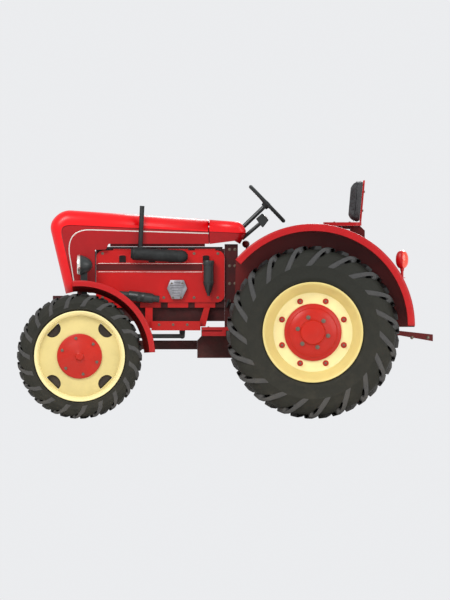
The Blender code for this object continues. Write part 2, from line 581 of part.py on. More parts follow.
PUMP_Y = ENGINE_REAR_Y - 0.404
pump_outline = rounded([
    (PUMP_Y - 0.045, 1.018, 0.02), (PUMP_Y + 0.045, 1.018, 0.02), (PUMP_Y + 0.088, 1.112, 0.02),
    (PUMP_Y + 0.060, 1.181, 0.012), (PUMP_Y - 0.060, 1.181, 0.012), (PUMP_Y - 0.088, 1.112, 0.02),
], 0.02)
pump_cover = solid("pump_cover", extruded(pump_outline, "X", OUTSIDE_X, OUTSIDE_X + 0.045), "grey casting")

STARTER_RADIUS = 0.044
STARTER_FRONT_Y = ENGINE_FRONT_Y + 0.175
starter_profile = [(0, 0), (0, 0.020), (0.020, 0.030), (0.100, 0.034), (0.130, STARTER_RADIUS)]
starter_profile += [(0.310, STARTER_RADIUS), (0.325, 0.030), (0.368, 0.030), (0.368, 0)]
starter_axis = Vector((0, 1, -0.12))
starter_centre = (OUTSIDE_X + STARTER_RADIUS, STARTER_FRONT_Y, 1.060)
starter_motor = solid("starter_motor", turned(starter_profile, starter_centre, starter_axis, 16), "dark steel")

EXHAUST_X = HOOD_HALF_WIDTH + 0.035
MUFFLER_RADIUS = 0.055
MUFFLER_FRONT_Y = ENGINE_FRONT_Y + 0.296
PIPE_RADIUS = 0.020
PIPE_TOP_Z = 1.811
muffler_axis = Vector((0, 0.485, -0.028))
muffler_profile = [(0, 0), (0, 0.040), (0.022, MUFFLER_RADIUS), (0.430, MUFFLER_RADIUS), (0.470, 0.045), (0.486, 0.022), (0.486, 0)]
muffler_centre = Vector((EXHAUST_X, MUFFLER_FRONT_Y, 1.405))
muffler = solid("exhaust_muffler", turned(muffler_profile, muffler_centre, muffler_axis, 16), "dark steel")
stub_start = Vector((OUTSIDE_X, MUFFLER_FRONT_Y + 0.30, 1.392))
PIPE_Y = MUFFLER_FRONT_Y + 0.087
outlet_top = Vector((EXHAUST_X, PIPE_Y - 0.006, muffler_centre.z + MUFFLER_RADIUS + 0.004))
pipe_mouth = Vector((EXHAUST_X, PIPE_Y + 0.010, PIPE_TOP_Z))
pipe_axis = (pipe_mouth - outlet_top).normalized()
outlet = bar(outlet_top - pipe_axis * 0.040, outlet_top, PIPE_RADIUS + 0.006, 16)
combine(muffler, "UNION", [bar(stub_start, stub_start + Vector((0.06, 0, 0)), 0.024, 12), outlet])
pipe = solid("exhaust_pipe", bar(outlet_top + pipe_axis * SEAT_GAP, pipe_mouth, PIPE_RADIUS, 16), "dark steel")

# Side rails below the engine, on two struts from the sump's flange
RAIL_INNER_X = 0.235
RAIL_OUTER_X = 0.285
RAIL_FRONT_Y = ENGINE_FRONT_Y + 0.471
RAIL_REAR_Y = ENGINE_REAR_Y - 0.205
for side, sign in SIDES:
    rail_box = box((sign * RAIL_INNER_X, sign * RAIL_OUTER_X), (RAIL_FRONT_Y, RAIL_REAR_Y), (0.751, SUMP_BASE_Z))
    rail = solid(f"side_rail_{side}", rail_box, "bright red paint")
    strut_top_z = ENGINE_BASE_Z - SEAT_GAP
    strut_span = (sign * (SUMP_HALF_WIDTH + 0.006), sign * (RAIL_INNER_X + 0.015))
    front_strut = box(strut_span, (RAIL_FRONT_Y - 0.052, RAIL_FRONT_Y + 0.010), (0.770, strut_top_z))
    slanted = [
        (RAIL_REAR_Y + 0.030, strut_top_z), (RAIL_REAR_Y + 0.080, strut_top_z),
        (RAIL_REAR_Y + 0.043, 0.785), (RAIL_REAR_Y - 0.020, 0.785),
    ]
    combine(rail, "UNION", [front_strut, extruded(slanted, "X", *strut_span)])

# Bell housing, gearbox, frame beam, rear axle housing
cowl_base_z = HOOD_SIDE_BASE_Z - 0.002
bell = box(
    (-ENGINE_HALF_WIDTH, ENGINE_HALF_WIDTH), (ENGINE_REAR_Y + SEAT_GAP, BELL_REAR_Y), (0.780, cowl_base_z - SEAT_GAP)
)
bell_housing = solid("bell_housing", bell, "maroon casting")
gearbox_outline = [
    (ENGINE_REAR_Y - 0.232, GEARBOX_BASE_Z), (HOUSING_FRONT_Y - SEAT_GAP, GEARBOX_BASE_Z),
    (HOUSING_FRONT_Y - SEAT_GAP, GEARBOX_TOP_Z - 0.060), (BELL_REAR_Y + 0.26, GEARBOX_TOP_Z),
    (BELL_REAR_Y + SEAT_GAP, GEARBOX_TOP_Z), (BELL_REAR_Y + SEAT_GAP, 0.780 - SEAT_GAP),
    (ENGINE_REAR_Y - 0.197, 0.780 - SEAT_GAP), (ENGINE_REAR_Y - 0.197, 0.704), (ENGINE_REAR_Y - 0.232, 0.666),
]
gearbox_span = (-GEARBOX_HALF_WIDTH, GEARBOX_HALF_WIDTH)
gearbox = solid("gearbox", extruded(gearbox_outline, "X", *gearbox_span), "maroon casting")
beam_front_y = FRONT_AXLE_Y + pin_reach + SEAT_GAP
beam_span = (beam_front_y, ENGINE_REAR_Y - 0.232 - SEAT_GAP)
frame_beam = solid("frame_beam", box((-0.060, 0.060), beam_span, (PIVOT_Z - 0.050, PIVOT_Z + 0.026)), "maroon casting")

HOUSING_HALF_WIDTH = 0.160
housing_block = box(
    (-HOUSING_HALF_WIDTH, HOUSING_HALF_WIDTH), (HOUSING_FRONT_Y, HOUSING_REAR_Y),
    (REAR_TYRE_RADIUS - 0.185, REAR_TYRE_RADIUS + 0.245),
)
rear_housing = solid("rear_axle_housing", housing_block, "maroon casting")
tubes, bores = [], []
for side, sign in SIDES:
    tube = [(0, 0), (0, 0.105), (0.300, 0.075), (0.322, 0.075), (0.322, 0.110), (AXLE_FLANGE_X - 0.150, 0.110)]
    tube.append((AXLE_FLANGE_X - 0.150, 0))
    spot = (sign * 0.150, REAR_AXLE_Y, REAR_TYRE_RADIUS)
    tubes.append(turned(tube, spot, (sign, 0, 0), 20))
    bore = [(sign * x, REAR_AXLE_Y, REAR_TYRE_RADIUS) for x in (REAR_SHAFT_END_X - 0.006, AXLE_FLANGE_X + 0.05)]
    bores.append(bar(*bore, REAR_SHAFT_RADIUS + RUNNING_GAP, TURN_STEPS))
combine(rear_housing, "UNION", tubes)
combine(rear_housing, "DIFFERENCE", bores)

# Drawbar, bolted flat to the back of the housing
DRAWBAR_HALF_WIDTH = 0.035
drawbar_outline = [
    (HOUSING_REAR_Y + SEAT_GAP, 0.700), (DRAWBAR_END_Y - 0.282, 0.708), (DRAWBAR_END_Y, 0.659),
    (DRAWBAR_END_Y, 0.717), (DRAWBAR_END_Y - 0.282, 0.748), (HOUSING_REAR_Y + SEAT_GAP, 0.790),
]
drawbar_span = (-DRAWBAR_HALF_WIDTH, DRAWBAR_HALF_WIDTH)
drawbar = solid("drawbar", extruded(drawbar_outline, "X", *drawbar_span), "dark red steel")

# ---------------------------------------------------------------- hood, cowl and grille
NOSE_FOOT = (FRONT_AXLE_Y - 0.116, 1.063)
NOSE_BROW = (FRONT_AXLE_Y - 0.239, 1.577)
TOP_CORNER_Y = FRONT_AXLE_Y - 0.077
CHEEK_REAR_Y = ENGINE_FRONT_Y - 0.008
CHEEK_BASE_Z = 1.085


def hood_crown(inset):
    """The hood's side outline from the nose's foot over the brow to the seam, moved inwards."""
    foot = (NOSE_FOOT[0] + inset, NOSE_FOOT[1])
    brow = (NOSE_BROW[0] - 0.020 + inset * 1.05, NOSE_BROW[1] + 0.084)
    top = (TOP_CORNER_Y - 0.070, HOOD_TOP_FRONT_Z + 0.006 - inset)
    rear = (SEAM_Y - SEAM_GAP / 2, HOOD_TOP_REAR_Z - inset)
    return foot, brow, top, rear


def crowned(outline, crown_count, half_width, reach):
    """An outline pushed out to both sides, its first edges rounded over by a bevel."""
    bm = extruded(outline, "X", -half_width, half_width)
    bm.edges.ensure_lookup_table()
    crown = outline[:crown_count]
    pairs = [(Vector(a), Vector(b)) for a, b in zip(crown, crown[1:])]
    edges = []
    for edge in bm.edges:
        ends = [Vector((v.co.y, v.co.z)) for v in edge.verts]
        if abs(edge.verts[0].co.x - edge.verts[1].co.x) > 1e-6:
            continue
        for a, b in pairs:
            if {(ends[0] - a).length < 1e-5, (ends[1] - b).length < 1e-5} == {True} \
                    or {(ends[1] - a).length < 1e-5, (ends[0] - b).length < 1e-5} == {True}:
                edges.append(edge)
    bmesh.ops.bevel(bm, geom=edges, offset=reach, offset_type="OFFSET", segments=4, profile=0.5,
                    affect="EDGES", clamp_overlap=False, material=-1)
    return bm


foot, brow, top, rear = hood_crown(0)
crown_path = rounded([foot + (0,), brow + (0.10,), top + (0.13,), rear + (0,)], 0, 4)
hood_outline = crown_path + [
    (SEAM_Y - SEAM_GAP / 2, HOOD_SIDE_BASE_Z), (ENGINE_FRONT_Y + 0.108, HOOD_SIDE_BASE_Z),
    (ENGINE_FRONT_Y + 0.084, PANEL_TOP_Z + 0.008), (CHEEK_REAR_Y, PANEL_TOP_Z + 0.005),
    (CHEEK_REAR_Y, CHEEK_BASE_Z),
]
hood = solid("hood", crowned(hood_outline, len(crown_path), HOOD_HALF_WIDTH, HOOD_ROUND), "bright red paint")
foot, brow, top, rear = hood_crown(HOOD_WALL)
foot = (foot[0] + 0.030, foot[1] - 0.120)
rear = (rear[0] + 0.100, rear[1])
inner_path = rounded([foot + (0,), brow + (0.09,), top + (0.12,), rear + (0,)], 0, 4)
inner_outline = inner_path + [(rear[0], foot[1])]
inner_round = HOOD_ROUND - HOOD_WALL
hollow = crowned(inner_outline, len(inner_path), HOOD_HALF_WIDTH - HOOD_WALL, inner_round)
GRILLE_HALF_WIDTH = 0.150
GRILLE_BASE_Z = 1.140
GRILLE_TOP_Z = 1.540
opening = box((-GRILLE_HALF_WIDTH, GRILLE_HALF_WIDTH), (NOSE_BROW[0] - 0.1, FRONT_AXLE_Y - 0.03), (GRILLE_BASE_Z, GRILLE_TOP_Z))
combine(hood, "DIFFERENCE", [hollow, opening])

HINGE_Y = SEAM_Y
HINGE_Z = HOOD_TOP_REAR_Z + 0.0125
HINGE_PIN = 0.004
HINGE_BARREL = 0.009
hood_barrels, barrel_bores = [], []
for side, sign in SIDES:
    ends = [(sign * x, HINGE_Y, HINGE_Z) for x in (0.050, 0.105)]
    hood_barrels.append(bar(*ends, HINGE_BARREL, 10))
    leaf = [(SEAM_Y - 0.040, HOOD_TOP_REAR_Z - 0.006), (SEAM_Y - 0.040, HOOD_TOP_REAR_Z + 0.0065),
            (HINGE_Y, HINGE_Z + 0.004), (HINGE_Y, HINGE_Z - 0.007), (SEAM_Y - 0.004, HOOD_TOP_REAR_Z - 0.006)]
    hood_barrels.append(extruded(leaf, "X", sign * 0.052, sign * 0.103))
    ends = [(sign * x, HINGE_Y, HINGE_Z) for x in (0.030, 0.130)]
    barrel_bores.append(bar(*ends, HINGE_PIN + RUNNING_GAP, 10))
combine(hood, "UNION", hood_barrels)
combine(hood, "DIFFERENCE", barrel_bores)
set_origin(hood, (0, HINGE_Y, HINGE_Z))

# Grille: a slotted plate held behind the opening in the nose
BAR_COUNT = 12
BAR_WIDTH = 0.008
GRILLE_MARGIN = 0.015
GRILLE_THICKNESS = 0.010


def grille_y(z):
    """The nose's inner face at a height."""
    lower, upper = Vector(inner_outline[0]), Vector(hood_crown(HOOD_WALL)[1])
    return lower.x + (upper.x - lower.x) * (z - lower.y) / (upper.y - lower.y) + SEAT_GAP


grille_low, grille_high = GRILLE_BASE_Z - GRILLE_MARGIN, GRILLE_TOP_Z + GRILLE_MARGIN
grille_outline = [
    (grille_y(grille_low), grille_low), (grille_y(grille_low) + GRILLE_THICKNESS, grille_low),
    (grille_y(grille_high) + GRILLE_THICKNESS, grille_high), (grille_y(grille_high), grille_high),
]
grille_half = GRILLE_HALF_WIDTH + GRILLE_MARGIN
grille = solid("grille", extruded(grille_outline, "X", -grille_half, grille_half), "dark steel")
pitch = 2 * GRILLE_HALF_WIDTH / BAR_COUNT
slots = []
for number in range(BAR_COUNT):
    left = -GRILLE_HALF_WIDTH + number * pitch + BAR_WIDTH / 2
    slot_span = (left, left + pitch - BAR_WIDTH)
    slots.append(box(slot_span, (NOSE_BROW[0] - 0.1, FRONT_AXLE_Y), (GRILLE_BASE_Z + 0.01, GRILLE_TOP_Z - 0.01)))
combine(grille, "DIFFERENCE", slots)

# Cowl behind the seam, with the tank inside: solid, on the bell housing
cowl_front_y = SEAM_Y + SEAM_GAP / 2
COWL_REAR_Y = ENGINE_REAR_Y + 0.193
cowl_crown = rounded([
    (cowl_front_y, HOOD_TOP_REAR_Z, 0), (COWL_REAR_Y - 0.058, HOOD_TOP_REAR_Z - 0.019, 0.06),
    (COWL_REAR_Y, 1.592, 0.015), (COWL_REAR_Y - 0.062, cowl_base_z, 0),
], 0)
cowl_outline = cowl_crown + [(cowl_front_y, cowl_base_z)]
cowl = solid("tank_cowl", crowned(cowl_outline, len(cowl_crown) - 1, HOOD_HALF_WIDTH, HOOD_ROUND * 0.7), "bright red paint")
cowl_hinges = []
for side, sign in SIDES:
    pin = [(sign * x, HINGE_Y, HINGE_Z) for x in (0.048, 0.150)]
    barrel = [(sign * x, HINGE_Y, HINGE_Z) for x in (0.105 + RUNNING_GAP, 0.150)]
    leaf = [(SEAM_Y + 0.040, HOOD_TOP_REAR_Z - 0.008), (SEAM_Y + 0.040, HOOD_TOP_REAR_Z + 0.004),
            (HINGE_Y, HINGE_Z + 0.004), (HINGE_Y, HINGE_Z - 0.007), (SEAM_Y + 0.006, HOOD_TOP_REAR_Z - 0.008)]
    leaf_shape = extruded(leaf, "X", sign * 0.107, sign * 0.148)
    cowl_hinges += [bar(*pin, HINGE_PIN, 10), bar(*barrel, HINGE_BARREL, 10), leaf_shape]
combine(cowl, "UNION", cowl_hinges)

# Headlights on brackets from the hood's cheeks
HEADLIGHT_RADIUS = 0.0875
HEADLIGHT_DEPTH = 0.132
HEADLIGHT_FRONT_Y = FRONT_AXLE_Y - 0.021
HEADLIGHT_Z = 1.307
for side, sign in SIDES:
    inside = HOOD_HALF_WIDTH + SEAT_GAP
    lamp_x = inside + 0.018 + HEADLIGHT_RADIUS
    bowl = [(0, 0), (0, 0.080), (0.008, HEADLIGHT_RADIUS), (0.030, HEADLIGHT_RADIUS), (0.080, 0.070), (0.115, 0.044)]
    bowl += [(HEADLIGHT_DEPTH, 0.016), (HEADLIGHT_DEPTH, 0)]
    lamp_spot = (sign * lamp_x, HEADLIGHT_FRONT_Y, HEADLIGHT_Z)
    lamp = solid(f"headlight_{side}", turned(bowl, lamp_spot, (0, 1, 0), 20), "dark steel")
    strap = (HEADLIGHT_FRONT_Y + 0.030, HEADLIGHT_FRONT_Y + 0.088)
    foot_plate = box((sign * inside, sign * (inside + 0.008)), strap, (1.140, 1.210))
    arm = box((sign * (inside + 0.004), sign * (lamp_x + 0.016)), strap, (1.168, 1.182))
    post = box((sign * (lamp_x - 0.015), sign * (lamp_x + 0.015)), strap, (1.170, HEADLIGHT_Z - 0.050))
    combine(lamp, "UNION", [foot_plate, arm, post])
hang_on(hood, grille, *(bpy.data.objects[f"headlight_{side}"] for side, sign in SIDES))

# ---------------------------------------------------------------- rear fenders and steps
FOOTPLATE_TOP_Z = 0.780
FOOTPLATE_FRONT_Y = ENGINE_REAR_Y - 0.193
FENDER_FRONT_Y = BELL_REAR_Y - 0.030
FENDER_STEPS = 14
LAMP_REACH = 0.757           # tail lamp behind the fender's centre
FENDER_FRONT_ANGLE = radians(139.6)
for side, sign in SIDES:
    centre = (REAR_AXLE_Y + 0.001, FENDER_CENTRE_Z)
    outer, inner = FENDER_RADIUS, FENDER_RADIUS - FENDER_SHEET
    low, high = FENDER_INNER_X, FENDER_OUTER_X
    section = [
        (low, outer), (high, outer), (high, outer - FENDER_LIP), (high - FENDER_SHEET, outer - FENDER_LIP),
        (high - FENDER_SHEET, inner), (low + FENDER_SHEET + 0.002, inner),
        (low + FENDER_SHEET + 0.002, outer - FENDER_LIP), (low, outer - FENDER_LIP),
    ]
    section = [(sign * x, r) for x, r in section]
    crown = swept(section, (0, *centre), 0, FENDER_FRONT_ANGLE, FENDER_STEPS)
    fender = solid(f"rear_fender_{side}", crown, "fender red paint")
    wall_outline = arc_points(centre, outer - FENDER_SHEET / 2, radians(0.2), FENDER_FRONT_ANGLE - 0.004, FENDER_STEPS)
    wall_outline.append((FENDER_FRONT_Y, FOOTPLATE_TOP_Z + SEAT_GAP))
    wall_outline.append((centre[0] + outer - FENDER_SHEET / 2, FOOTPLATE_TOP_Z + SEAT_GAP))
    wall = extruded(wall_outline, "X", sign * (low + 0.0004), sign * (low + FENDER_SHEET))
    lamp_y = centre[0] + LAMP_REACH
    lamp_foot_z = FENDER_CENTRE_Z + sqrt(FENDER_RADIUS**2 - LAMP_REACH**2) - 0.012
    stalk_ends = [(sign * 0.700, lamp_y, z) for z in (lamp_foot_z, 1.2547)]
    combine(fender, "UNION", [wall, bar(*stalk_ends, 0.012, 10)])
    notch = [(sign * x, REAR_AXLE_Y, REAR_TYRE_RADIUS) for x in (low - 0.05, low + 0.05)]
    combine(fender, "DIFFERENCE", [bar(*notch, 0.060, 16)])

    oval = [(0, 0), (0, 0.016), (0.020, 0.018), (0.032, 0.036), (0.060, 0.050), (0.097, 0.055), (0.134, 0.050)]
    oval += [(0.162, 0.036), (0.176, 0.018), (0.181, 0)]
    tail = turned(oval, (sign * 0.700, lamp_y, 1.255), (0, 0, 1), 14)
    tail_lamp = solid(f"tail_lamp_{side}", tail, "lens orange")

    step_outline = [
        (FOOTPLATE_FRONT_Y, 0.704), (ENGINE_REAR_Y + 0.011, 0.704), (ENGINE_REAR_Y + 0.011, 0.751),
        (REAR_AXLE_Y - 0.300, 0.751), (REAR_AXLE_Y - 0.300, FOOTPLATE_TOP_Z), (FOOTPLATE_FRONT_Y, FOOTPLATE_TOP_Z),
        (FOOTPLATE_FRONT_Y, 0.751), (ENGINE_REAR_Y - 0.020, 0.751), (ENGINE_REAR_Y - 0.020, 0.743),
        (FOOTPLATE_FRONT_Y, 0.743),
    ]
    plate_span = (sign * (GEARBOX_HALF_WIDTH + SEAT_GAP), sign * 0.500)
    footplate = solid(f"footplate_{side}", extruded(step_outline, "X", *plate_span), "bright red paint")

    pivot = [(sign * x, BELL_REAR_Y + 0.090, 0.860) for x in (GEARBOX_HALF_WIDTH + SEAT_GAP, 0.222)]
    pedal = solid(f"pedal_{side}", bar(*pivot, 0.014, 12), "dark steel")
    lever = [(BELL_REAR_Y + 0.104, 0.850), (BELL_REAR_Y + 0.104, 0.875), (BELL_REAR_Y - 0.085, 1.000),
             (BELL_REAR_Y - 0.100, 0.985)]
    pad = [(BELL_REAR_Y - 0.106, 0.950), (BELL_REAR_Y - 0.094, 0.945), (BELL_REAR_Y - 0.070, 1.015),
           (BELL_REAR_Y - 0.082, 1.020)]
    lever_shape = extruded(lever, "X", sign * 0.206, sign * 0.220)
    combine(pedal, "UNION", [lever_shape, extruded(pad, "X", sign * 0.2055, sign * 0.275)])

# ---------------------------------------------------------------- driver's place
COLUMN_FOOT = Vector((0, ENGINE_REAR_Y + 0.172, 1.644))
WHEEL_CENTRE = Vector((0, ENGINE_REAR_Y + 0.362, 1.827))
column_axis = (WHEEL_CENTRE - COLUMN_FOOT).normalized()
HUB_BACK = 0.040             # hub's back below the ring's plane
column_start = COLUMN_FOOT - column_axis * 0.050
column_end = WHEEL_CENTRE - column_axis * (HUB_BACK + RUNNING_GAP)
column = solid("steering_column", bar(column_start, column_end, COLUMN_RADIUS, 16), "dark steel")
shaft_end = WHEEL_CENTRE - column_axis * 0.012
combine(column, "UNION", [bar(column_end - column_axis * 0.01, shaft_end, 0.009, 12)])
combine(cowl, "DIFFERENCE", [bar(column_start - column_axis * SEAT_GAP, column_end, COLUMN_RADIUS + SEAT_GAP, 16)])

ring = bmesh.new()
bmesh.ops.create_circle(ring, segments=6, radius=WHEEL_TUBE_RADIUS)
bmesh.ops.rotate(ring, verts=ring.verts[:], matrix=Matrix.Rotation(pi / 2, 3, "X"))
bmesh.ops.translate(ring, verts=ring.verts[:], vec=(WHEEL_RING_RADIUS, 0, 0))
bmesh.ops.spin(ring, geom=ring.verts[:] + ring.edges[:], axis=(0, 0, 1), angle=2 * pi, steps=24, use_merge=True)
bmesh.ops.remove_doubles(ring, verts=ring.verts[:], dist=1e-6)
ring.transform(Matrix.Translation(WHEEL_CENTRE) @ frame_along(column_axis))
steering_wheel = solid("steering_wheel", ring, "dark steel")
hub_profile = [(-HUB_BACK, 0), (-HUB_BACK, 0.030), (-0.010, 0.036), (0.014, 0.030), (0.020, 0)]
wheel_parts = [turned(hub_profile, WHEEL_CENTRE, column_axis, 16)]
for number in range(3):
    spoke = Matrix.Rotation(2 * pi * number / 3 + pi / 2, 3, column_axis) @ Vector((1, 0, 0))
    wheel_parts.append(bar(WHEEL_CENTRE - column_axis * 0.014 + spoke * 0.02, WHEEL_CENTRE + spoke * WHEEL_RING_RADIUS, 0.011, 8))
combine(steering_wheel, "UNION", wheel_parts)
hub_bore = [WHEEL_CENTRE - column_axis * depth for depth in (HUB_BACK + 0.05, 0.010)]
combine(steering_wheel, "DIFFERENCE", [bar(*hub_bore, 0.009 + RUNNING_GAP, 12)])
set_origin(steering_wheel, WHEEL_CENTRE)

STALK_RADIUS = 0.016
panel_y = ENGINE_REAR_Y + 0.266
head_outline = rounded([(panel_y, 1.700), (panel_y + 0.054, 1.748), (panel_y + 0.110, 1.690), (panel_y + 0.058, 1.622)], 0.008, 2)
stalk_foot = Vector((0.0, COWL_REAR_Y - 0.045, 1.530))
stalk_head = Vector((0.0, panel_y + 0.040, 1.664))
stalk_socket = stalk_foot - (stalk_head - stalk_foot).normalized() * SEAT_GAP
instrument = solid("instrument_stalk", extruded(head_outline, "X", -0.060, 0.060), "dark steel")
combine(instrument, "UNION", [bar(stalk_foot, stalk_head, STALK_RADIUS, 12)])
combine(cowl, "DIFFERENCE", [bar(stalk_socket, stalk_head, STALK_RADIUS + SEAT_GAP, 12)])

lever_foot = Vector((0, BELL_REAR_Y + 0.160, GEARBOX_TOP_Z + SEAT_GAP))
lever_head = Vector((0, ENGINE_REAR_Y + 0.181, 1.485))
gear_lever = solid("gear_lever", bar(lever_foot + Vector((0, 0, 0.010)), lever_head, 0.008, 10), "dark red steel")
boot = turned([(0, 0), (0, 0.040), (0.050, 0.014), (0.050, 0)], lever_foot, (0, 0, 1), 14)
knob_axis = (lever_head - lever_foot).normalized()
knob = turned([(-0.030, 0), (-0.028, 0.016), (-0.012, 0.030), (0.010, 0.032), (0.026, 0.020), (0.032, 0)],
              lever_head, knob_axis, 12)
combine(gear_lever, "UNION", [boot, knob])

SUPPORT_HALF_WIDTH = 0.055
support_outline = [
    (REAR_AXLE_Y + 0.060, REAR_TYRE_RADIUS + 0.245 + SEAT_GAP), (REAR_AXLE_Y + 0.180, REAR_TYRE_RADIUS + 0.245 + SEAT_GAP),
    (REAR_AXLE_Y + 0.441, 1.528), (REAR_AXLE_Y + 0.441, 1.600), (REAR_AXLE_Y + 0.400, SEAT_Z - SEAT_GAP),
    (REAR_AXLE_Y + 0.140, SEAT_Z - SEAT_GAP), (REAR_AXLE_Y + 0.140, SEAT_Z - 0.016), (REAR_AXLE_Y + 0.314, SEAT_Z - 0.030),
    (REAR_AXLE_Y + 0.314, 1.540),
]
support_span = (-SUPPORT_HALF_WIDTH, SUPPORT_HALF_WIDTH)
seat_support = solid("seat_support", extruded(support_outline, "X", *support_span), "dark red steel")
seat_corners = [
    (-SEAT_HALF_WIDTH, REAR_AXLE_Y + 0.088, 0.09), (SEAT_HALF_WIDTH, REAR_AXLE_Y + 0.088, 0.09),
    (SEAT_HALF_WIDTH, REAR_AXLE_Y + 0.413, 0.05), (-SEAT_HALF_WIDTH, REAR_AXLE_Y + 0.413, 0.05),
]
seat_shape = extruded(rounded(seat_corners, 0, 4), "Z", SEAT_Z, SEAT_Z + SEAT_THICKNESS)
seat_pan = solid("seat_pan", seat_shape, "bright red paint")
PLATE_HALF_WIDTH = 0.090
back_foot = Vector((REAR_AXLE_Y + 0.396, SEAT_Z + SEAT_THICKNESS + SEAT_GAP))
back_top = Vector((REAR_AXLE_Y + 0.443, BACKREST_TOP_Z))
back_outline = [back_foot, back_foot + Vector((0.0155, 0)), back_top, back_top - Vector((0.0155, 0))]
backrest_plate = solid("backrest_plate", extruded(back_outline, "X", -PLATE_HALF_WIDTH, PLATE_HALF_WIDTH), "bright red paint")
lean = (back_top.x - back_foot.x) / (back_top.y - back_foot.y)


def backrest_y(z):
    """The plate's front face at a height."""
    return back_foot.x + (z - back_foot.y) * (back_top.x - 0.0155 - back_foot.x) / (back_top.y - back_foot.y)


CUSHION_THICKNESS = 0.098
CUSHION_HALF_WIDTH = 0.210
low_z, high_z = back_foot.y + 0.004, BACKREST_TOP_Z - 0.005
cushion_outline = rounded([
    (backrest_y(low_z) - SEAT_GAP - 0.0002, low_z, 0.02), (backrest_y(high_z) - SEAT_GAP - 0.0002, high_z, 0.02),
    (backrest_y(high_z) - CUSHION_THICKNESS, high_z, 0.05), (backrest_y(low_z) - CUSHION_THICKNESS, low_z, 0.05),
], 0)
cushion_span = (-CUSHION_HALF_WIDTH, CUSHION_HALF_WIDTH)
cushion = solid("backrest_cushion", extruded(cushion_outline, "X", *cushion_span), "dark cushion")
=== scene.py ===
"""The looks of a red farm tractor of the late 1950s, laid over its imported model, in metres."""
from math import cos, pi, radians, sin

import bmesh
import bpy
from mathutils import Matrix, Vector


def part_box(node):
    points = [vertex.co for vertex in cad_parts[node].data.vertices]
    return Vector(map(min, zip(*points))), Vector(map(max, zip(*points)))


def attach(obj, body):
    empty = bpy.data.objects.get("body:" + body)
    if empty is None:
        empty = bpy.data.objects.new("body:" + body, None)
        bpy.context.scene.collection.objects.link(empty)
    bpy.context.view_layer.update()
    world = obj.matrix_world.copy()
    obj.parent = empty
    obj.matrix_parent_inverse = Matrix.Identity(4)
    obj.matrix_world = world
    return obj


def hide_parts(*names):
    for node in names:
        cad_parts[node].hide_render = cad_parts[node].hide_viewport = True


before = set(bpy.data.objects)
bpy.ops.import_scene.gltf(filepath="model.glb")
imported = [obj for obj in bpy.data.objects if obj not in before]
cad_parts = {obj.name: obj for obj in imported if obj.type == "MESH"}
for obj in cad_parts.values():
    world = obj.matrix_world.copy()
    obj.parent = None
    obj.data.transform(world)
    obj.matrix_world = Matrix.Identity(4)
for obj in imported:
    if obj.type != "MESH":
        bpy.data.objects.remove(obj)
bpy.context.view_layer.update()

# ---- Tyres
# Moulded rubber: a smooth carcass with a bead ring and a raised ring on the sidewall, and curved
# lugs that start at the middle of the tread and run over the shoulder, left and right in turn.


class Wire:
    """A shader socket. Arithmetic on it adds Math nodes."""

    def __init__(self, look, socket):
        self.look = look
        self.socket = socket

    def maths(self, operation, *values):
        return self.look.node("ShaderNodeMath", {"operation": operation}, *values)

    def __add__(self, other):
        return self.maths("ADD", self, other)

    __radd__ = __add__

    def __mul__(self, other):
        return self.maths("MULTIPLY", self, other)

    __rmul__ = __mul__

    def __sub__(self, other):
        return self.maths("SUBTRACT", self, other)

    def __rsub__(self, other):
        return self.maths("SUBTRACT", other, self)

    def sine(self):
        return self.maths("SINE", self)

    def step(self, low, high):
        """0 below low, 1 above high, smooth between."""
        settings = {"interpolation_type": "SMOOTHSTEP"}
        return self.look.node("ShaderNodeMapRange", settings, Value=self, From_Min=low, From_Max=high)


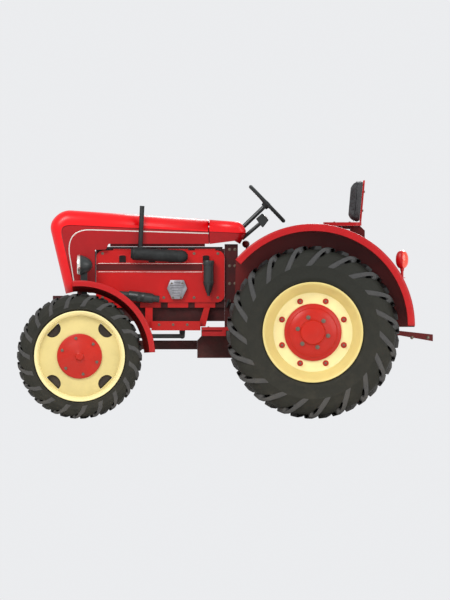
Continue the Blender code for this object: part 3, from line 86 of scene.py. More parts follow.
class Look:
    """A procedural material under construction, on a Principled surface."""

    def __init__(self, name, **surface):
        self.material = bpy.data.materials.new(name)
        self.material.use_nodes = True
        self.tree = self.material.node_tree
        self.surface = self.tree.nodes["Principled BSDF"]
        self.place = self.node("ShaderNodeTexCoord", output="Object")
        for socket, value in surface.items():
            self.surface.inputs[socket.replace("_", " ")].default_value = value

    def node(self, kind, settings=None, *values, output=None, **inputs):
        """A node of that kind, its settings made first and its sockets linked or set after them."""
        made = self.tree.nodes.new(kind)
        for setting, value in (settings or {}).items():
            setattr(made, setting, value)
        named = [(made.inputs[spot], value) for spot, value in enumerate(values)]
        for name, value in inputs.items():
            label = name.replace("_", " ")
            fitting = [socket for socket in made.inputs if socket.name == label and socket.enabled]
            named.append((fitting[0], value))
        for socket, value in named:
            if isinstance(value, Wire):
                self.tree.links.new(value.socket, socket)
            elif socket.type == "RGBA" and len(value) == 3:
                socket.default_value = (*value, 1)
            else:
                socket.default_value = value
        sockets = [socket for socket in made.outputs if socket.enabled]
        chosen = made.outputs[output] if output else sockets[0]
        return Wire(self, chosen)

    def feed(self, socket, wire):
        self.tree.links.new(wire.socket, self.surface.inputs[socket])

    def noise(self, scale, detail=3.0, roughness=0.55, place=None):
        """Noise over the piece, from 0 to 1; scale is in cells to the metre."""
        settings = {"noise_dimensions": "3D"}
        inputs = {"Vector": place or self.place, "Scale": scale, "Detail": detail, "Roughness": roughness}
        return self.node("ShaderNodeTexNoise", settings, **inputs)

    def cells(self, scale, feature="F1", place=None):
        settings = {"feature": feature}
        return self.node("ShaderNodeTexVoronoi", settings, Vector=place or self.place, Scale=scale)

    def stretched(self, x, y, z):
        """The piece's coordinates, scaled along each axis."""
        return self.node("ShaderNodeMapping", None, Vector=self.place, Scale=(x, y, z))

    def height(self):
        return self.node("ShaderNodeSeparateXYZ", None, self.place, output="Z")

    def mixed(self, amount, first, second):
        """A colour between two colours."""
        made = self.tree.nodes.new("ShaderNodeMix")
        made.data_type = "RGBA"
        amount_in, first_in, second_in = (made.inputs[spot] for spot in (0, 6, 7))
        for socket, value in ((amount_in, amount), (first_in, first), (second_in, second)):
            if isinstance(value, Wire):
                self.tree.links.new(value.socket, socket)
            elif socket.type == "RGBA":
                socket.default_value = (*value[:3], 1)
            else:
                socket.default_value = value
        return Wire(self, made.outputs[2])

    def bumped(self, height, strength=0.3, distance=0.001, under=None):
        inputs = {"Height": height, "Strength": strength, "Distance": distance}
        if under:
            inputs["Normal"] = under
        return self.node("ShaderNodeBump", None, **inputs)


def srgb(red, green, blue):
    """A linear colour from the eight-bit numbers of a paint chart."""
    scaled = [channel / 255 for channel in (red, green, blue)]
    return tuple(c / 12.92 if c <= 0.04045 else ((c + 0.055) / 1.055) ** 2.4 for c in scaled)


DUST = srgb(150, 136, 112)


def dusty(look, colour, amount, low=0.0, high=0.9):
    """Dust that has settled on the lower parts, in patches."""
    patches = look.noise(9, 6, 0.65)
    depth = 1 - look.height().step(low, high)
    cover = (patches.step(0.38, 0.75) * 0.6 + 0.4) * depth * amount
    return look.mixed(cover, colour, DUST), cover


def rubber(name, colour, dust):
    look = Look(name, Specular_IOR_Level=0.3)
    mottled = look.mixed(look.noise(35, 5), [c * 0.75 for c in colour], [c * 1.25 for c in colour])
    dusted, cover = dusty(look, mottled, dust, 0.0, 1.6)
    look.feed("Base Color", dusted)
    look.feed("Roughness", look.noise(60, 4) * 0.15 + 0.68 + cover * 0.2)
    grain = look.bumped(look.noise(900, 3), 0.25, 0.0006)
    look.feed("Normal", look.bumped(look.noise(70, 5), 0.25, 0.0015, grain))
    return look.material


tyre_rubber = rubber("tyre rubber, aged", srgb(24, 25, 19), 0.06)
lug_rubber = rubber("lug rubber, worn grey", srgb(58, 58, 58), 0.10)


def finished(name, bm, materials, body, node_names=(), sharp=38):
    """The object of a finished bmesh: shaded smooth, riding on its body, standing for its CAD nodes."""
    mesh = bpy.data.meshes.new(name)
    bm.to_mesh(mesh)
    bm.free()
    mesh.shade_smooth()
    mesh.set_sharp_from_angle(angle=radians(sharp))
    for material in materials:
        mesh.materials.append(material)
    piece = bpy.data.objects.new(name, mesh)
    bpy.context.collection.objects.link(piece)
    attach(piece, body)
    if node_names:
        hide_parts(*node_names)
    return piece


MERGE_REACH = 1e-6


def outwards(bm):
    """Merge doubles and point every face outwards."""
    bmesh.ops.remove_doubles(bm, verts=bm.verts[:], dist=MERGE_REACH)
    bmesh.ops.recalc_face_normals(bm, faces=bm.faces[:])
    return bm


def middle(node):
    low, high = (Vector(corner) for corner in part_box(node))
    return (low + high) / 2


def lathe(bm, profile, centre, axis=(1, 0, 0), steps=96, look=0, start=0.0):
    """Turn a profile of (along, radius) points about an axis; closed where it starts off the axis."""
    axis = Vector(axis).normalized()
    across = Vector((0, 1, 0)) if abs(axis.x) > 0.9 else Vector((1, 0, 0))
    across = (across - axis * across.dot(axis)).normalized()
    across = Matrix.Rotation(start, 3, axis) @ across
    centre = Vector(centre)
    spots = [bm.verts.new(centre + axis * along + across * radius) for along, radius in profile]
    edges = [bm.edges.new(pair) for pair in zip(spots, spots[1:])]
    if profile[0][1] > 1e-6:
        edges.append(bm.edges.new((spots[-1], spots[0])))
    before = set(bm.faces)
    bmesh.ops.spin(
        bm, geom=spots + edges, cent=centre, axis=axis, angle=2 * pi, steps=steps, use_merge=True
    )
    for face in bm.faces:
        if face not in before:
            face.material_index = look
    return bm


def lofted(bm, rings, look=0):
    """A body drawn out through rings of points, each ring an extrusion of the one before."""
    ring = [bm.verts.new(point) for point in rings[0]]
    face = bm.faces.new(ring)
    face.material_index = look
    for points in rings[1:]:
        drawn = bmesh.ops.extrude_face_region(bm, geom=[face])["geom"]
        new = {part for part in drawn if isinstance(part, bmesh.types.BMVert)}
        face = [part for part in drawn if isinstance(part, bmesh.types.BMFace)][0]
        ring = [next(e.other_vert(v) for e in v.link_edges if e.other_vert(v) in new) for v in ring]
        for vert, point in zip(ring, points):
            vert.co = point
    return bm


def repeated(bm, mould, matrices):
    """Copies of a mould's mesh, joined into bm at each matrix."""
    for matrix in matrices:
        before = set(bm.verts)
        bm.from_mesh(mould)
        bmesh.ops.transform(bm, matrix=matrix, verts=[vert for vert in bm.verts if vert not in before])
    return bm


def mould_of(bm):
    mesh = bpy.data.meshes.new("mould")
    bm.to_mesh(mesh)
    bm.free()
    return mesh


def round_about(centre, count, first=0.0, sign=1):
    """Matrices that turn a mould, made at the origin along +X, to count places about an X axis."""
    flip = Matrix.Diagonal((sign, 1, 1, 1))
    return [
        Matrix.Translation(centre) @ flip @ Matrix.Rotation(first + 2 * pi * number / count, 4, "X")
        for number in range(count)
    ]


LUG_COUNT = 19
LUG_ROUND = 0.0035
BEVELLED_FROM = radians(30)
REAR_TYRE = (0.735, 0.1725, 0.4283, 0.135)
FRONT_TYRE = (0.532, 0.100, 0.3868, 0.063)


def carcass_profile(radius, half_width, rim_radius, seat_half, lug_height):
    """The tyre's section without its lugs, from one bead to the other, as (along, radius) points."""
    carcass = radius - lug_height
    rise = carcass - rim_radius
    skin = [
        (seat_half, rim_radius - 0.020), (seat_half + 0.003, rim_radius + 0.004),
        (half_width * 0.90, rim_radius + rise * 0.10),
        (half_width * 0.935, rim_radius + rise * 0.14),
        (half_width * 0.925, rim_radius + rise * 0.18),
        (half_width * 0.975, rim_radius + rise * 0.34),
        (half_width * 0.985, rim_radius + rise * 0.47),
        (half_width * 0.995, rim_radius + rise * 0.49),
        (half_width * 0.995, rim_radius + rise * 0.52),
        (half_width * 0.980, rim_radius + rise * 0.54),
        (half_width * 0.950, rim_radius + rise * 0.72),
        (half_width * 0.880, rim_radius + rise * 0.88),
        (half_width * 0.740, rim_radius + rise * 0.965), (half_width * 0.500, carcass - 0.002),
        (half_width * 0.250, carcass),
    ]
    return skin + [(0, carcass)] + [(-u, r) for u, r in reversed(skin)]


def lug_rings(radius, half_width, rim_radius, lug_height, width, reach, lean):
    """Rings of a lug from the tread's middle, over the shoulder, to its foot on the sidewall."""
    carcass = radius - lug_height
    rise = carcass - rim_radius
    path = [
        (-0.010, carcass, 1.0), (half_width * 0.42, carcass, 1.0),
        (half_width * 0.78, carcass - rise * 0.035, 0.98),
        (half_width * 0.93, carcass - rise * 0.13, 0.82),
        (half_width * 0.965, rim_radius + rise * 0.70, 0.42),
        (half_width * 0.985, rim_radius + rise * reach, 0.12),
    ]
    rings = []
    for spot, (u, r, proud) in enumerate(path):
        share = spot / (len(path) - 1)
        turn = lean * (0.15 * share + 0.85 * share**1.6)
        slope = Vector((u / half_width * 0.8 * share, 1 - share * 0.95)).normalized()
        outward = Vector((0.0, 1.0)) if spot < 2 else slope
        top = Vector((u, r)) + outward * lug_height * proud * (1.0 if spot < 3 else 0.8)
        foot = Vector((u, r)) - outward * 0.012
        if spot > 2:
            top.x = min(top.x, half_width)
        ring = []
        corners = ((foot, -1, 1.25), (top, -1, 0.85), (top, 1, 0.85), (foot, 1, 1.25))
        for (along, out), side, wide in corners:
            angle = turn + side * width * wide / 2 / max(out, 0.3)
            ring.append((along, -out * sin(angle), out * cos(angle)))
        rings.append(ring)
    return rings


def make_tyre(kind, side, sizes, lug_height, lug_width, reach, lean, first):
    """A tyre; sizes are its radius, half width, rim radius and half the rim's seat."""
    node = f"{kind}_tyre_{side}"
    body = f"{kind}_wheel_{side}"
    radius, half_width, rim_radius, seat_half = sizes
    sign = 1 if side == "left" else -1
    centre = middle(node)
    bm = bmesh.new()
    lathe(bm, carcass_profile(radius, half_width, rim_radius, seat_half, lug_height), centre, steps=120)
    outwards(bm)
    for hand in (1, -1):
        lug = bmesh.new()
        rings = lug_rings(radius, half_width, rim_radius, lug_height, lug_width, reach, lean)
        lofted(lug, rings, look=1)
        bmesh.ops.recalc_face_normals(lug, faces=lug.faces[:])
        edges = [edge for edge in lug.edges if edge.calc_face_angle(0) > BEVELLED_FROM]
        bmesh.ops.bevel(
            lug, geom=edges, offset=LUG_ROUND, segments=2, profile=0.5, affect="EDGES", material=-1
        )
        stagger = 0 if hand == 1 else pi / LUG_COUNT
        matrices = round_about(centre, LUG_COUNT, first + stagger, hand * sign)
        repeated(bm, mould_of(lug), matrices)
    bmesh.ops.recalc_face_normals(bm, faces=bm.faces[:])
    finished(f"{node}_moulded", bm, [tyre_rubber, lug_rubber], body, [node], 40)


for side in ("left", "right"):
    make_tyre("rear", side, REAR_TYRE, 0.030, 0.058, 0.50, radians(17), 0.1)
    make_tyre("front", side, FRONT_TYRE, 0.016, 0.046, 0.28, radians(13), 0.05)

# ---- Wheels
# Pressed steel: a deep rim with a rolled edge, a dished disc and a red hub held on by a ring of bolts.
# The rear rim and the front disc are darker copies of the disc's cream, as painted shade. The front disc
# has four D-shaped vents, which show the dark brake drum behind.


def painted(name, colour, rough=0.36, dust=0.10, high=1.3, coat=0.04, metallic=0.0):
    """Enamel over sheet steel: slightly uneven in shade and gloss, with dust low down."""
    gloss = {"Coat_Weight": coat, "Coat_Roughness": 0.15, "Specular_IOR_Level": 0.28}
    look = Look(name, Metallic=metallic, **gloss)
    faded = look.mixed(look.noise(4, 5, 0.6).step(0.3, 0.75), [c * 0.88 for c in colour], colour)
    specks = look.noise(260, 2).step(0.70, 0.78) * 0.35
    marked = look.mixed(specks, faded, [c * 0.45 for c in colour])
    dusted, cover = dusty(look, marked, dust, 0.0, high)
    look.feed("Base Color", dusted)
    look.feed("Roughness", look.noise(14, 5) * 0.14 + rough - 0.06 + cover * 0.35)
    peel = look.bumped(look.noise(420, 2), 0.10, 0.0004)
    look.feed("Normal", look.bumped(look.noise(11, 3), 0.06, 0.004, peel))
    return look.material


def cast(name, colour, rough=0.6, dust=0.14, metallic=0.0):
    """Sand-cast iron under paint: pebbled, with grime in random patches."""
    look = Look(name, Metallic=metallic, Specular_IOR_Level=0.3)
    grime = look.noise(13, 6, 0.65).step(0.35, 0.72)
    tone = look.mixed(grime, [c * 0.65 for c in colour], [c * 1.15 for c in colour])
    dusted, cover = dusty(look, tone, dust, 0.1, 1.4)
    look.feed("Base Color", dusted)
    look.feed("Roughness", look.noise(45, 4) * 0.2 + rough - 0.1 + cover * 0.2)
    grain = look.bumped(look.noise(520, 4), 0.35, 0.0008)
    look.feed("Normal", look.bumped(look.noise(45, 3), 0.25, 0.003, grain))
    return look.material


def bare(name, colour, rough=0.35, metallic=0.9, dust=0.05):
    """Bare or plated steel with fine scratches."""
    look = Look(name, Metallic=metallic)
    streaks = look.noise(30, 4, 0.6, look.stretched(1, 1, 14))
    tone = look.mixed(streaks, [c * 0.75 for c in colour], [c * 1.15 for c in colour])
    dusted, cover = dusty(look, tone, dust, 0.2, 1.6)
    look.feed("Base Color", dusted)
    look.feed("Roughness", streaks * 0.25 + rough - 0.1 + cover * 0.3)
    look.feed("Normal", look.bumped(look.noise(300, 3), 0.12, 0.0004))
    return look.material


# The rear rim is a darker copy of the disc's cream: painted shade in the rim's ring.
rim_cream_painted_shade = painted("cream enamel, rim, darkened as painted shade", srgb(214, 194, 122), 0.38, 0.05)
disc_cream = painted("cream enamel, disc", srgb(238, 222, 160), 0.38, 0.05)
# The front disc is a darker copy of the cream: painted shade in the recessed disc.
front_disc_painted_shade = painted("cream enamel, front disc, darkened as painted shade", srgb(208, 190, 126), 0.40, 0.05)
hub_red = painted("red enamel, hub", srgb(176, 20, 0), 0.38, 0.05)
bolt_steel = bare("bolt steel, dulled", srgb(112, 100, 88), 0.42)
drum_dark = cast("brake drum, sooty", srgb(38, 30, 26), 0.7)


WASHER_WIDTH, WASHER_DEPTH, CHAMFER = 0.72, 0.18, 0.05


def nut(bm, spot, axis, size, height, look=0, sides=6):
    """A nut with a chamfered top, standing on a washer; it has six sides unless told otherwise."""
    axis = Vector(axis).normalized()
    rise = axis.to_track_quat("Z", "Y").to_matrix().to_4x4()
    place = Matrix.Translation(Vector(spot)) @ rise
    washer = (size * WASHER_WIDTH, height * WASHER_DEPTH, 20)
    for radius, deep, steps in (washer, (size * 0.5, height, sides)):
        made = bmesh.ops.create_cone(
            bm, cap_ends=True, segments=steps, radius1=radius, radius2=radius, depth=deep,
            matrix=place @ Matrix.Translation((0, 0, deep / 2 - 0.0005)),
        )["verts"]
        faces = {face for vert in made for face in vert.link_faces}
        for face in faces:
            face.material_index = look
        rim = [e for e in {e for v in made for e in v.link_edges} if e.calc_face_angle(0) > 1.2
               and all((place.inverted() @ v.co).z > deep * 0.7 for v in e.verts)]
        bmesh.ops.bevel(
            bm, geom=rim, offset=size * CHAMFER, segments=2, profile=0.5, affect="EDGES", material=-1
        )
    return bm


def make_rear_wheel(side, sign):
    node = f"rear_wheel_{side}"
    centre = middle(f"rear_tyre_{side}")
    out = (sign, 0, 0)
    bm = bmesh.new()
    rim = [
        (0.030, 0.3375), (0.034, 0.3425), (0.070, 0.362), (0.132, 0.398), (0.146, 0.408),
        (0.153, 0.417), (0.1548, 0.4225), (0.153, 0.4268), (0.148, 0.428), (0.142, 0.4276),
        (0.138, 0.402), (-0.138, 0.402), (-0.142, 0.4276), (-0.150, 0.428), (-0.1545, 0.423),
        (-0.150, 0.412), (-0.132, 0.396), (-0.060, 0.386), (0.006, 0.346), (0.016, 0.3375),
    ]
    lathe(bm, rim, centre, out, look=0)
    disc = [
        (0.0150, 0.150), (0.0150, 0.335), (0.0305, 0.338), (0.0325, 0.334), (0.0305, 0.329),
        (0.0290, 0.322), (0.0275, 0.290), (0.0300, 0.262), (0.0300, 0.150),
    ]
    lathe(bm, disc, centre, out, look=1)
    hub = [
        (-0.050, 0.100), (0.020, 0.100), (0.020, 0.2430), (0.0420, 0.2440), (0.0465, 0.2415),
        (0.0485, 0.236), (0.0500, 0.226), (0.0640, 0.200), (0.0770, 0.172), (0.0800, 0.160),
        (0.0900, 0.118), (0.0925, 0.108), (0.1080, 0.1030), (0.1120, 0.0990), (0.1130, 0.090),
        (0.1165, 0.060), (0.1170, 0.052), (0.1190, 0.046), (0.1195, 0.0),
    ]
    lathe(bm, [(-0.050, 0)] + hub, centre, out, look=2)
    ridge = [(0.0500, 0.2105), (0.0615, 0.2110), (0.0640, 0.2080), (0.0640, 0.2030), (0.0600, 0.2000)]
    lathe(bm, ridge, centre, out, look=2)
    shaft = [(-0.259, 0), (-0.259, 0.044), (-0.060, 0.044), (-0.040, 0.108), (0.0, 0.108), (0.0, 0)]
    lathe(bm, shaft, centre, out, look=4)
    outwards(bm)
    bolt = bmesh.new()
    nut(bolt, (0.0275, 0, 0.284), (1, 0, 0), 0.036, 0.020, look=2)
    nut(bolt, (0.046, 0, 0.284), (1, 0, 0), 0.020, 0.008, look=3, sides=12)
    repeated(bm, mould_of(bolt), round_about(centre, 8, pi / 8, sign))
    small = bmesh.new()
    nut(small, (0.0905, 0, 0.132), (1, 0, 0), 0.026, 0.013, look=3)
    repeated(bm, mould_of(small), round_about(centre, 6, 0.3, sign))
    bmesh.ops.recalc_face_normals(bm, faces=bm.faces[:])
    looks = [rim_cream_painted_shade, disc_cream, hub_red, bolt_steel, drum_dark]
    finished(f"{node}_pressed", bm, looks, node, [node], 35)


def kept(piece):
    """Apply every modifier on a piece."""
    graph = bpy.context.evaluated_depsgraph_get()
    mesh = bpy.data.meshes.new_from_object(piece.evaluated_get(graph), depsgraph=graph)
    piece.modifiers.clear()
    piece.data = mesh
    return piece


def plate(bm, outline, axis, low, high, look=0, soften=0.0):
    """A plate: an outline pushed along one axis, with its edges softened."""
    places = {
        "X": lambda a, b, t: (t, a, b),
        "Y": lambda a, b, t: (a, t, b),
        "Z": lambda a, b, t: (a, b, t),
    }
    place = places[axis]
    face = bm.faces.new([bm.verts.new(place(a, b, low)) for a, b in outline])
    face.material_index = look
    drawn = bmesh.ops.extrude_face_region(bm, geom=[face])["geom"]
    new = [part for part in drawn if isinstance(part, bmesh.types.BMVert)]
    reach = Vector(place(0, 0, high - low))
    bmesh.ops.translate(bm, vec=reach, verts=new)
    if soften:
        whole = {e for v in new for f in v.link_faces for e in f.edges}
        whole = [e for e in whole if len(e.link_faces) == 2 and e.calc_face_angle(0) > 0.6]
        bmesh.ops.bevel(
            bm, geom=whole, offset=soften, segments=2, profile=0.5, affect="EDGES", material=-1
        )
    return bm


def make_front_wheel(side, sign):
    node = f"front_wheel_{side}"
    centre = middle(f"front_tyre_{side}")
    out = (sign, 0, 0)
    bm = bmesh.new()
    rim = [
        (0.022, 0.345), (0.026, 0.3465), (0.058, 0.358), (0.072, 0.368), (0.0785, 0.377),
        (0.0798, 0.3815), (0.0785, 0.3855), (0.075, 0.3864), (0.070, 0.386), (0.066, 0.3605),
        (-0.066, 0.3605), (-0.070, 0.386), (-0.0765, 0.3862), (-0.0797, 0.381), (-0.076, 0.371),
        (-0.058, 0.353), (-0.020, 0.350), (0.008, 0.345),
    ]
    lathe(bm, rim, centre, out, look=0)
    hub = [
        (-0.045, 0.0), (-0.045, 0.055), (0.006, 0.060), (0.006, 0.1880), (0.0300, 0.1915),
        (0.0340, 0.1895), (0.0365, 0.1840), (0.0380, 0.172), (0.0500, 0.126), (0.0540, 0.112),
        (0.0650, 0.066), (0.0665, 0.058), (0.0720, 0.038), (0.0880, 0.0345), (0.0915, 0.031),
        (0.0935, 0.020), (0.0938, 0.0),
    ]
    lathe(bm, hub, centre, out, look=2)
    drum = [
        (-0.055, 0.0), (-0.055, 0.090), (-0.035, 0.185), (-0.020, 0.318), (-0.008, 0.330),
        (0.002, 0.318), (0.002, 0.0),
    ]
    lathe(bm, drum, centre, out, look=4)
    outwards(bm)
    bolt = bmesh.new()
    nut(bolt, (0.0405, 0, 0.152), (1, 0, 0), 0.022, 0.013, look=3)
    repeated(bm, mould_of(bolt), round_about(centre, 6, 0.2, sign))
    bmesh.ops.recalc_face_normals(bm, faces=bm.faces[:])
    looks = [disc_cream, front_disc_painted_shade, hub_red, bolt_steel, drum_dark]
    finished(f"{node}_pressed", bm, looks, node, [node], 35)
    plain = bmesh.new()
    lathe(plain, [(0.0085, 0.186), (0.0085, 0.346), (0.0205, 0.346), (0.0205, 0.186)], centre, out, 144)
    disc = finished(f"{node}_disc", outwards(plain), [front_disc_painted_shade], node, [node], 35)
    vents = bmesh.new()
    chord = [(0.070 * cos(pi * k / 20), 0.326 - 0.068 * sin(pi * k / 20) ** 0.8) for k in range(21)]
    for quarter in range(4):
        tilt = pi / 4 + quarter * pi / 2
        turned = [(-(a * cos(tilt) + r * sin(tilt)), r * cos(tilt) - a * sin(tilt)) for a, r in chord]
        outline = [(centre.y + y, centre.z + z) for y, z in turned]
        plate(vents, outline, "X", centre.x - sign * 0.02, centre.x + sign * 0.05)
    bmesh.ops.recalc_face_normals(vents, faces=vents.faces[:])
    cutter_mesh = mould_of(vents)
    cutter = bpy.data.objects.new("vents", cutter_mesh)
    bpy.context.collection.objects.link(cutter)
    cut = disc.modifiers.new("vents", "BOOLEAN")
    cut.operation, cut.solver, cut.object = "DIFFERENCE", "EXACT", cutter
    bpy.context.view_layer.update()
    kept(disc)
    bpy.data.objects.remove(cutter)
    disc.data.set_sharp_from_angle(angle=radians(35))


for side, sign in (("left", 1), ("right", -1)):
    make_rear_wheel(side, sign)
    make_front_wheel(side, sign)

# ---- Hood and cowl
# Pressed sheet in red: the crown is painted brighter and the side darker, as painted light, with a
# painted shadow line just under the crease. The crown is rounded over at its sides and nose and overlaps
# the flatter side sheet at a crease; a plated strip runs up the nose and back along the crease.
# Near-black red inside the hood and cowl and on the hood's side flanges: painted shade under the hood.
inside_red_painted_shade = cast("dark red, painted shade inside the hood", srgb(88, 8, 8), 0.7)
plated = bare("plated strip", srgb(226, 222, 214), 0.22, 0.85, 0.02)


def smooth_path(corners, steps=10):
    """Points along straight runs joined by arcs; each corner is (y, z, radius)."""
    points = [Vector(corners[0][:2])]
    for before, corner, after in zip(corners, corners[1:], corners[2:]):
        here = Vector(corner[:2])
        if not corner[2]:
            points.append(here)
            continue
        back, ahead = (Vector(before[:2]) - here).normalized(), (Vector(after[:2]) - here).normalized()
        half = back.angle(ahead) / 2
        reach = corner[2] / max(sin(half) / cos(half), 0.05)
        first, last = here + back * reach, here + ahead * reach
        for step in range(steps + 1):
            share = step / steps
            points.append(first * (1 - share) ** 2 + here * 2 * share * (1 - share) + last * share**2)
    points.append(Vector(corners[-1][:2]))
    return points


def crown_rows(path, half_width, reach, steps=9):
    """Rows of points over the crown: flat in the middle, rounded over at each side."""
    rows = []
    for spot, point in enumerate(path):
        before, after = path[max(spot - 1, 0)], path[min(spot + 1, len(path) - 1)]
        along = (after - before).normalized()
        inward = Vector((along.y, -along.x))
        row = []
        for step in range(steps + 1):
            angle = pi / 2 * (1 - step / steps)
            drop = reach * (1 - cos(angle))
            row.append(Vector((half_width - reach + reach * sin(angle), *(point + inward * drop))))
        rows.append(row)
    return rows


def crowned_sheet(bm, path, side_outline, half_width, reach, opening=None):
    """The crown's skin and both flat sides below it, with an opening in the nose if one is given."""
    rows = crown_rows(path, half_width, reach)
    for flip in (1, -1):
        grid = []
        for row in rows:
            spots = [(p.x * flip, p.y, p.z) for p in row]
            if opening:
                spots.append((opening[0] * flip, row[-1].y, row[-1].z))
            spots.append((0, row[-1].y, row[-1].z))
            grid.append([bm.verts.new(spot) for spot in spots])
        for first, second in zip(grid, grid[1:]):
            columns = list(zip(first, first[1:], second[1:], second))
            levels = (first[-1].co.z + second[-1].co.z) / 2
            if opening and opening[1] < levels < opening[2] and first[-1].co.y < -1.3:
                columns.pop()
            for loop in columns:
                bm.faces.new(loop)
        lower = [bm.verts.new((half_width * flip, y, z)) for y, z in side_outline]
        bm.faces.new([row[0] for row in grid] + lower)
    outwards(bm)
    return bm


MOST_STRIP_CORNERS = 6


def flat_sides(piece):
    """The large flat faces of a sheet take no shading from the rounding beside them."""
    for polygon in piece.data.polygons:
        if len(polygon.vertices) > MOST_STRIP_CORNERS:
            polygon.use_smooth = False
    return piece


def crease_red_painted_light(name, bright, deep):
    """Red enamel with painted light: brighter on the crown above the crease, darker on the side below it,
    and a painted shadow line just under the crease, which also stands out by the sheet's thickness.
    """
    look = Look(name, Coat_Weight=0.08, Coat_Roughness=0.15, Specular_IOR_Level=0.3)
    parts = look.node("ShaderNodeSeparateXYZ", None, look.place, output="Y")
    height = look.height()
    over = height - (1.6155 - (parts + 0.64) * 0.0478)
    nose = (height * -0.2385 - 1.0165) - parts
    reach = look.node("ShaderNodeMath", {"operation": "SMOOTH_MAX"}, over, nose, 0.15)
    above = reach.step(-0.0015, 0.0015)
    faded = look.noise(4, 5, 0.6).step(0.3, 0.75)
    # The crown is painted brighter and the side darker: painted light and shade on one paint.
    crown = look.mixed(faded, [c * 0.9 for c in bright], bright)
    side = look.mixed(faded, [c * 0.85 for c in deep], deep)
    paint = look.mixed(above, side, crown)
    # A near-black line just under the crease: painted shadow.
    line = reach.step(-0.0060, -0.0030) * (1 - reach.step(-0.0015, 0.0005))
    dusted, cover = dusty(look, look.mixed(line * 0.8, paint, srgb(50, 0, 2)), 0.03, 0.3, 1.7)
    look.feed("Base Color", dusted)
    look.feed("Roughness", look.noise(14, 5) * 0.14 + 0.28 + cover * 0.3)
    peel = look.bumped(look.noise(420, 2), 0.10, 0.0004)
    look.feed("Normal", look.bumped(reach.step(-0.005, 0.002), 0.9, 0.004, peel))
    return look.material


# The crown's bright red and the side's darker red are painted light and shade of one paint.
hood_red_painted_light = crease_red_painted_light("red enamel with crease, painted light and shadow", srgb(216, 0, 10), srgb(150, 0, 6))


def walled(piece, thickness, inside_look):
    """Give a sheet its thickness, inwards, with its own look inside."""
    piece.data.materials.append(inside_look)
    wall = piece.modifiers.new("wall", "SOLIDIFY")
    wall.thickness = thickness
    wall.offset = -1
    wall.material_offset = len(piece.data.materials) - 1
    return piece


nose_foot, nose_brow = Vector((-1.3515, 1.063)), Vector((-1.4940, 1.661))


def nose_at(z):
    return nose_foot.lerp(nose_brow, (z - nose_foot.y) / (nose_brow.y - nose_foot.y))


hood_path = smooth_path([
    (*nose_foot, 0), (*nose_at(1.140), 0), (*nose_at(1.540), 0), (*nose_brow, 0.132),
    (-1.383, 1.7772, 0.178), (-0.136, 1.6922, 0),
], 14)
hood_side = [(-0.136, 1.487), (-0.988, 1.487), (-1.012, 1.439), (-1.104, 1.436), (-1.104, 1.085)]
skin = crowned_sheet(bmesh.new(), hood_path, hood_side, 0.2645, 0.089, (0.150, 1.14, 1.54))
hood_piece = finished("hood_pressed", skin, [hood_red_painted_light], "hood", ["hood"], 30)
walled(flat_sides(hood_piece), 0.010, inside_red_painted_shade)
cowl_corners = [
    (-0.130, 1.6925, 0), (0.132, 1.6735, 0.065), (0.1895, 1.592, 0.065), (0.128, 1.4855, 0),
]
cowl_path = smooth_path(cowl_corners, 12)
skin = crowned_sheet(bmesh.new(), cowl_path, [(-0.130, 1.4855)], 0.2645, 0.054)
cowl_piece = finished("cowl_pressed", skin, [hood_red_painted_light], "root", ["tank_cowl"], 30)
walled(flat_sides(cowl_piece), 0.006, inside_red_painted_shade)


def slab(bm, x_span, y_span, z_span, look=0, soften=0.0):
    """A box with its edges softened."""
    size = [abs(b - a) for a, b in (x_span, y_span, z_span)]
    spot = [(a + b) / 2 for a, b in (x_span, y_span, z_span)]
    place = Matrix.Translation(spot) @ Matrix.Diagonal((*size, 1))
    made = bmesh.ops.create_cube(bm, size=1, matrix=place)["verts"]
    for face in {face for vert in made for face in vert.link_faces}:
        face.material_index = look
    if soften:
        edges = list({edge for vert in made for edge in vert.link_edges})
        bmesh.ops.bevel(
            bm, geom=edges, offset=soften, segments=3, profile=0.5, affect="EDGES", material=-1
        )
    return bm


def strip(bm, points, x, width, rise, look=0):
    """A half-round strip that follows points on a side at x, standing out by rise."""
    rings = []
    for spot, point in enumerate(points):
        before, after = points[max(spot - 1, 0)], points[min(spot + 1, len(points) - 1)]
        along = (after - before).normalized()
        across = Vector((-along.y, along.x))
        ring = []
        for share in (-1, -0.7, 0, 0.7, 1):
            out = x + (rise if x > 0 else -rise) * (1 - share**2) ** 0.5
            ring.append(Vector((out, *(point + across * width / 2 * share))))
        rings.append(ring)
    return lofted(bm, rings, look)


TRIM = [(-1.276, 1.125, 0), (-1.322, 1.400, 0.30), (-1.342, 1.6125, 0.18), (-0.139, 1.5765, 0)]
for side, sign in (("left", 1), ("right", -1)):
    trim = bmesh.new()
    path = smooth_path(TRIM, 12)
    strip(trim, path, sign * 0.2640, 0.011, 0.0009)
    outwards(trim)
    finished(f"trim_strip_{side}", trim, [plated], "hood", sharp=50)

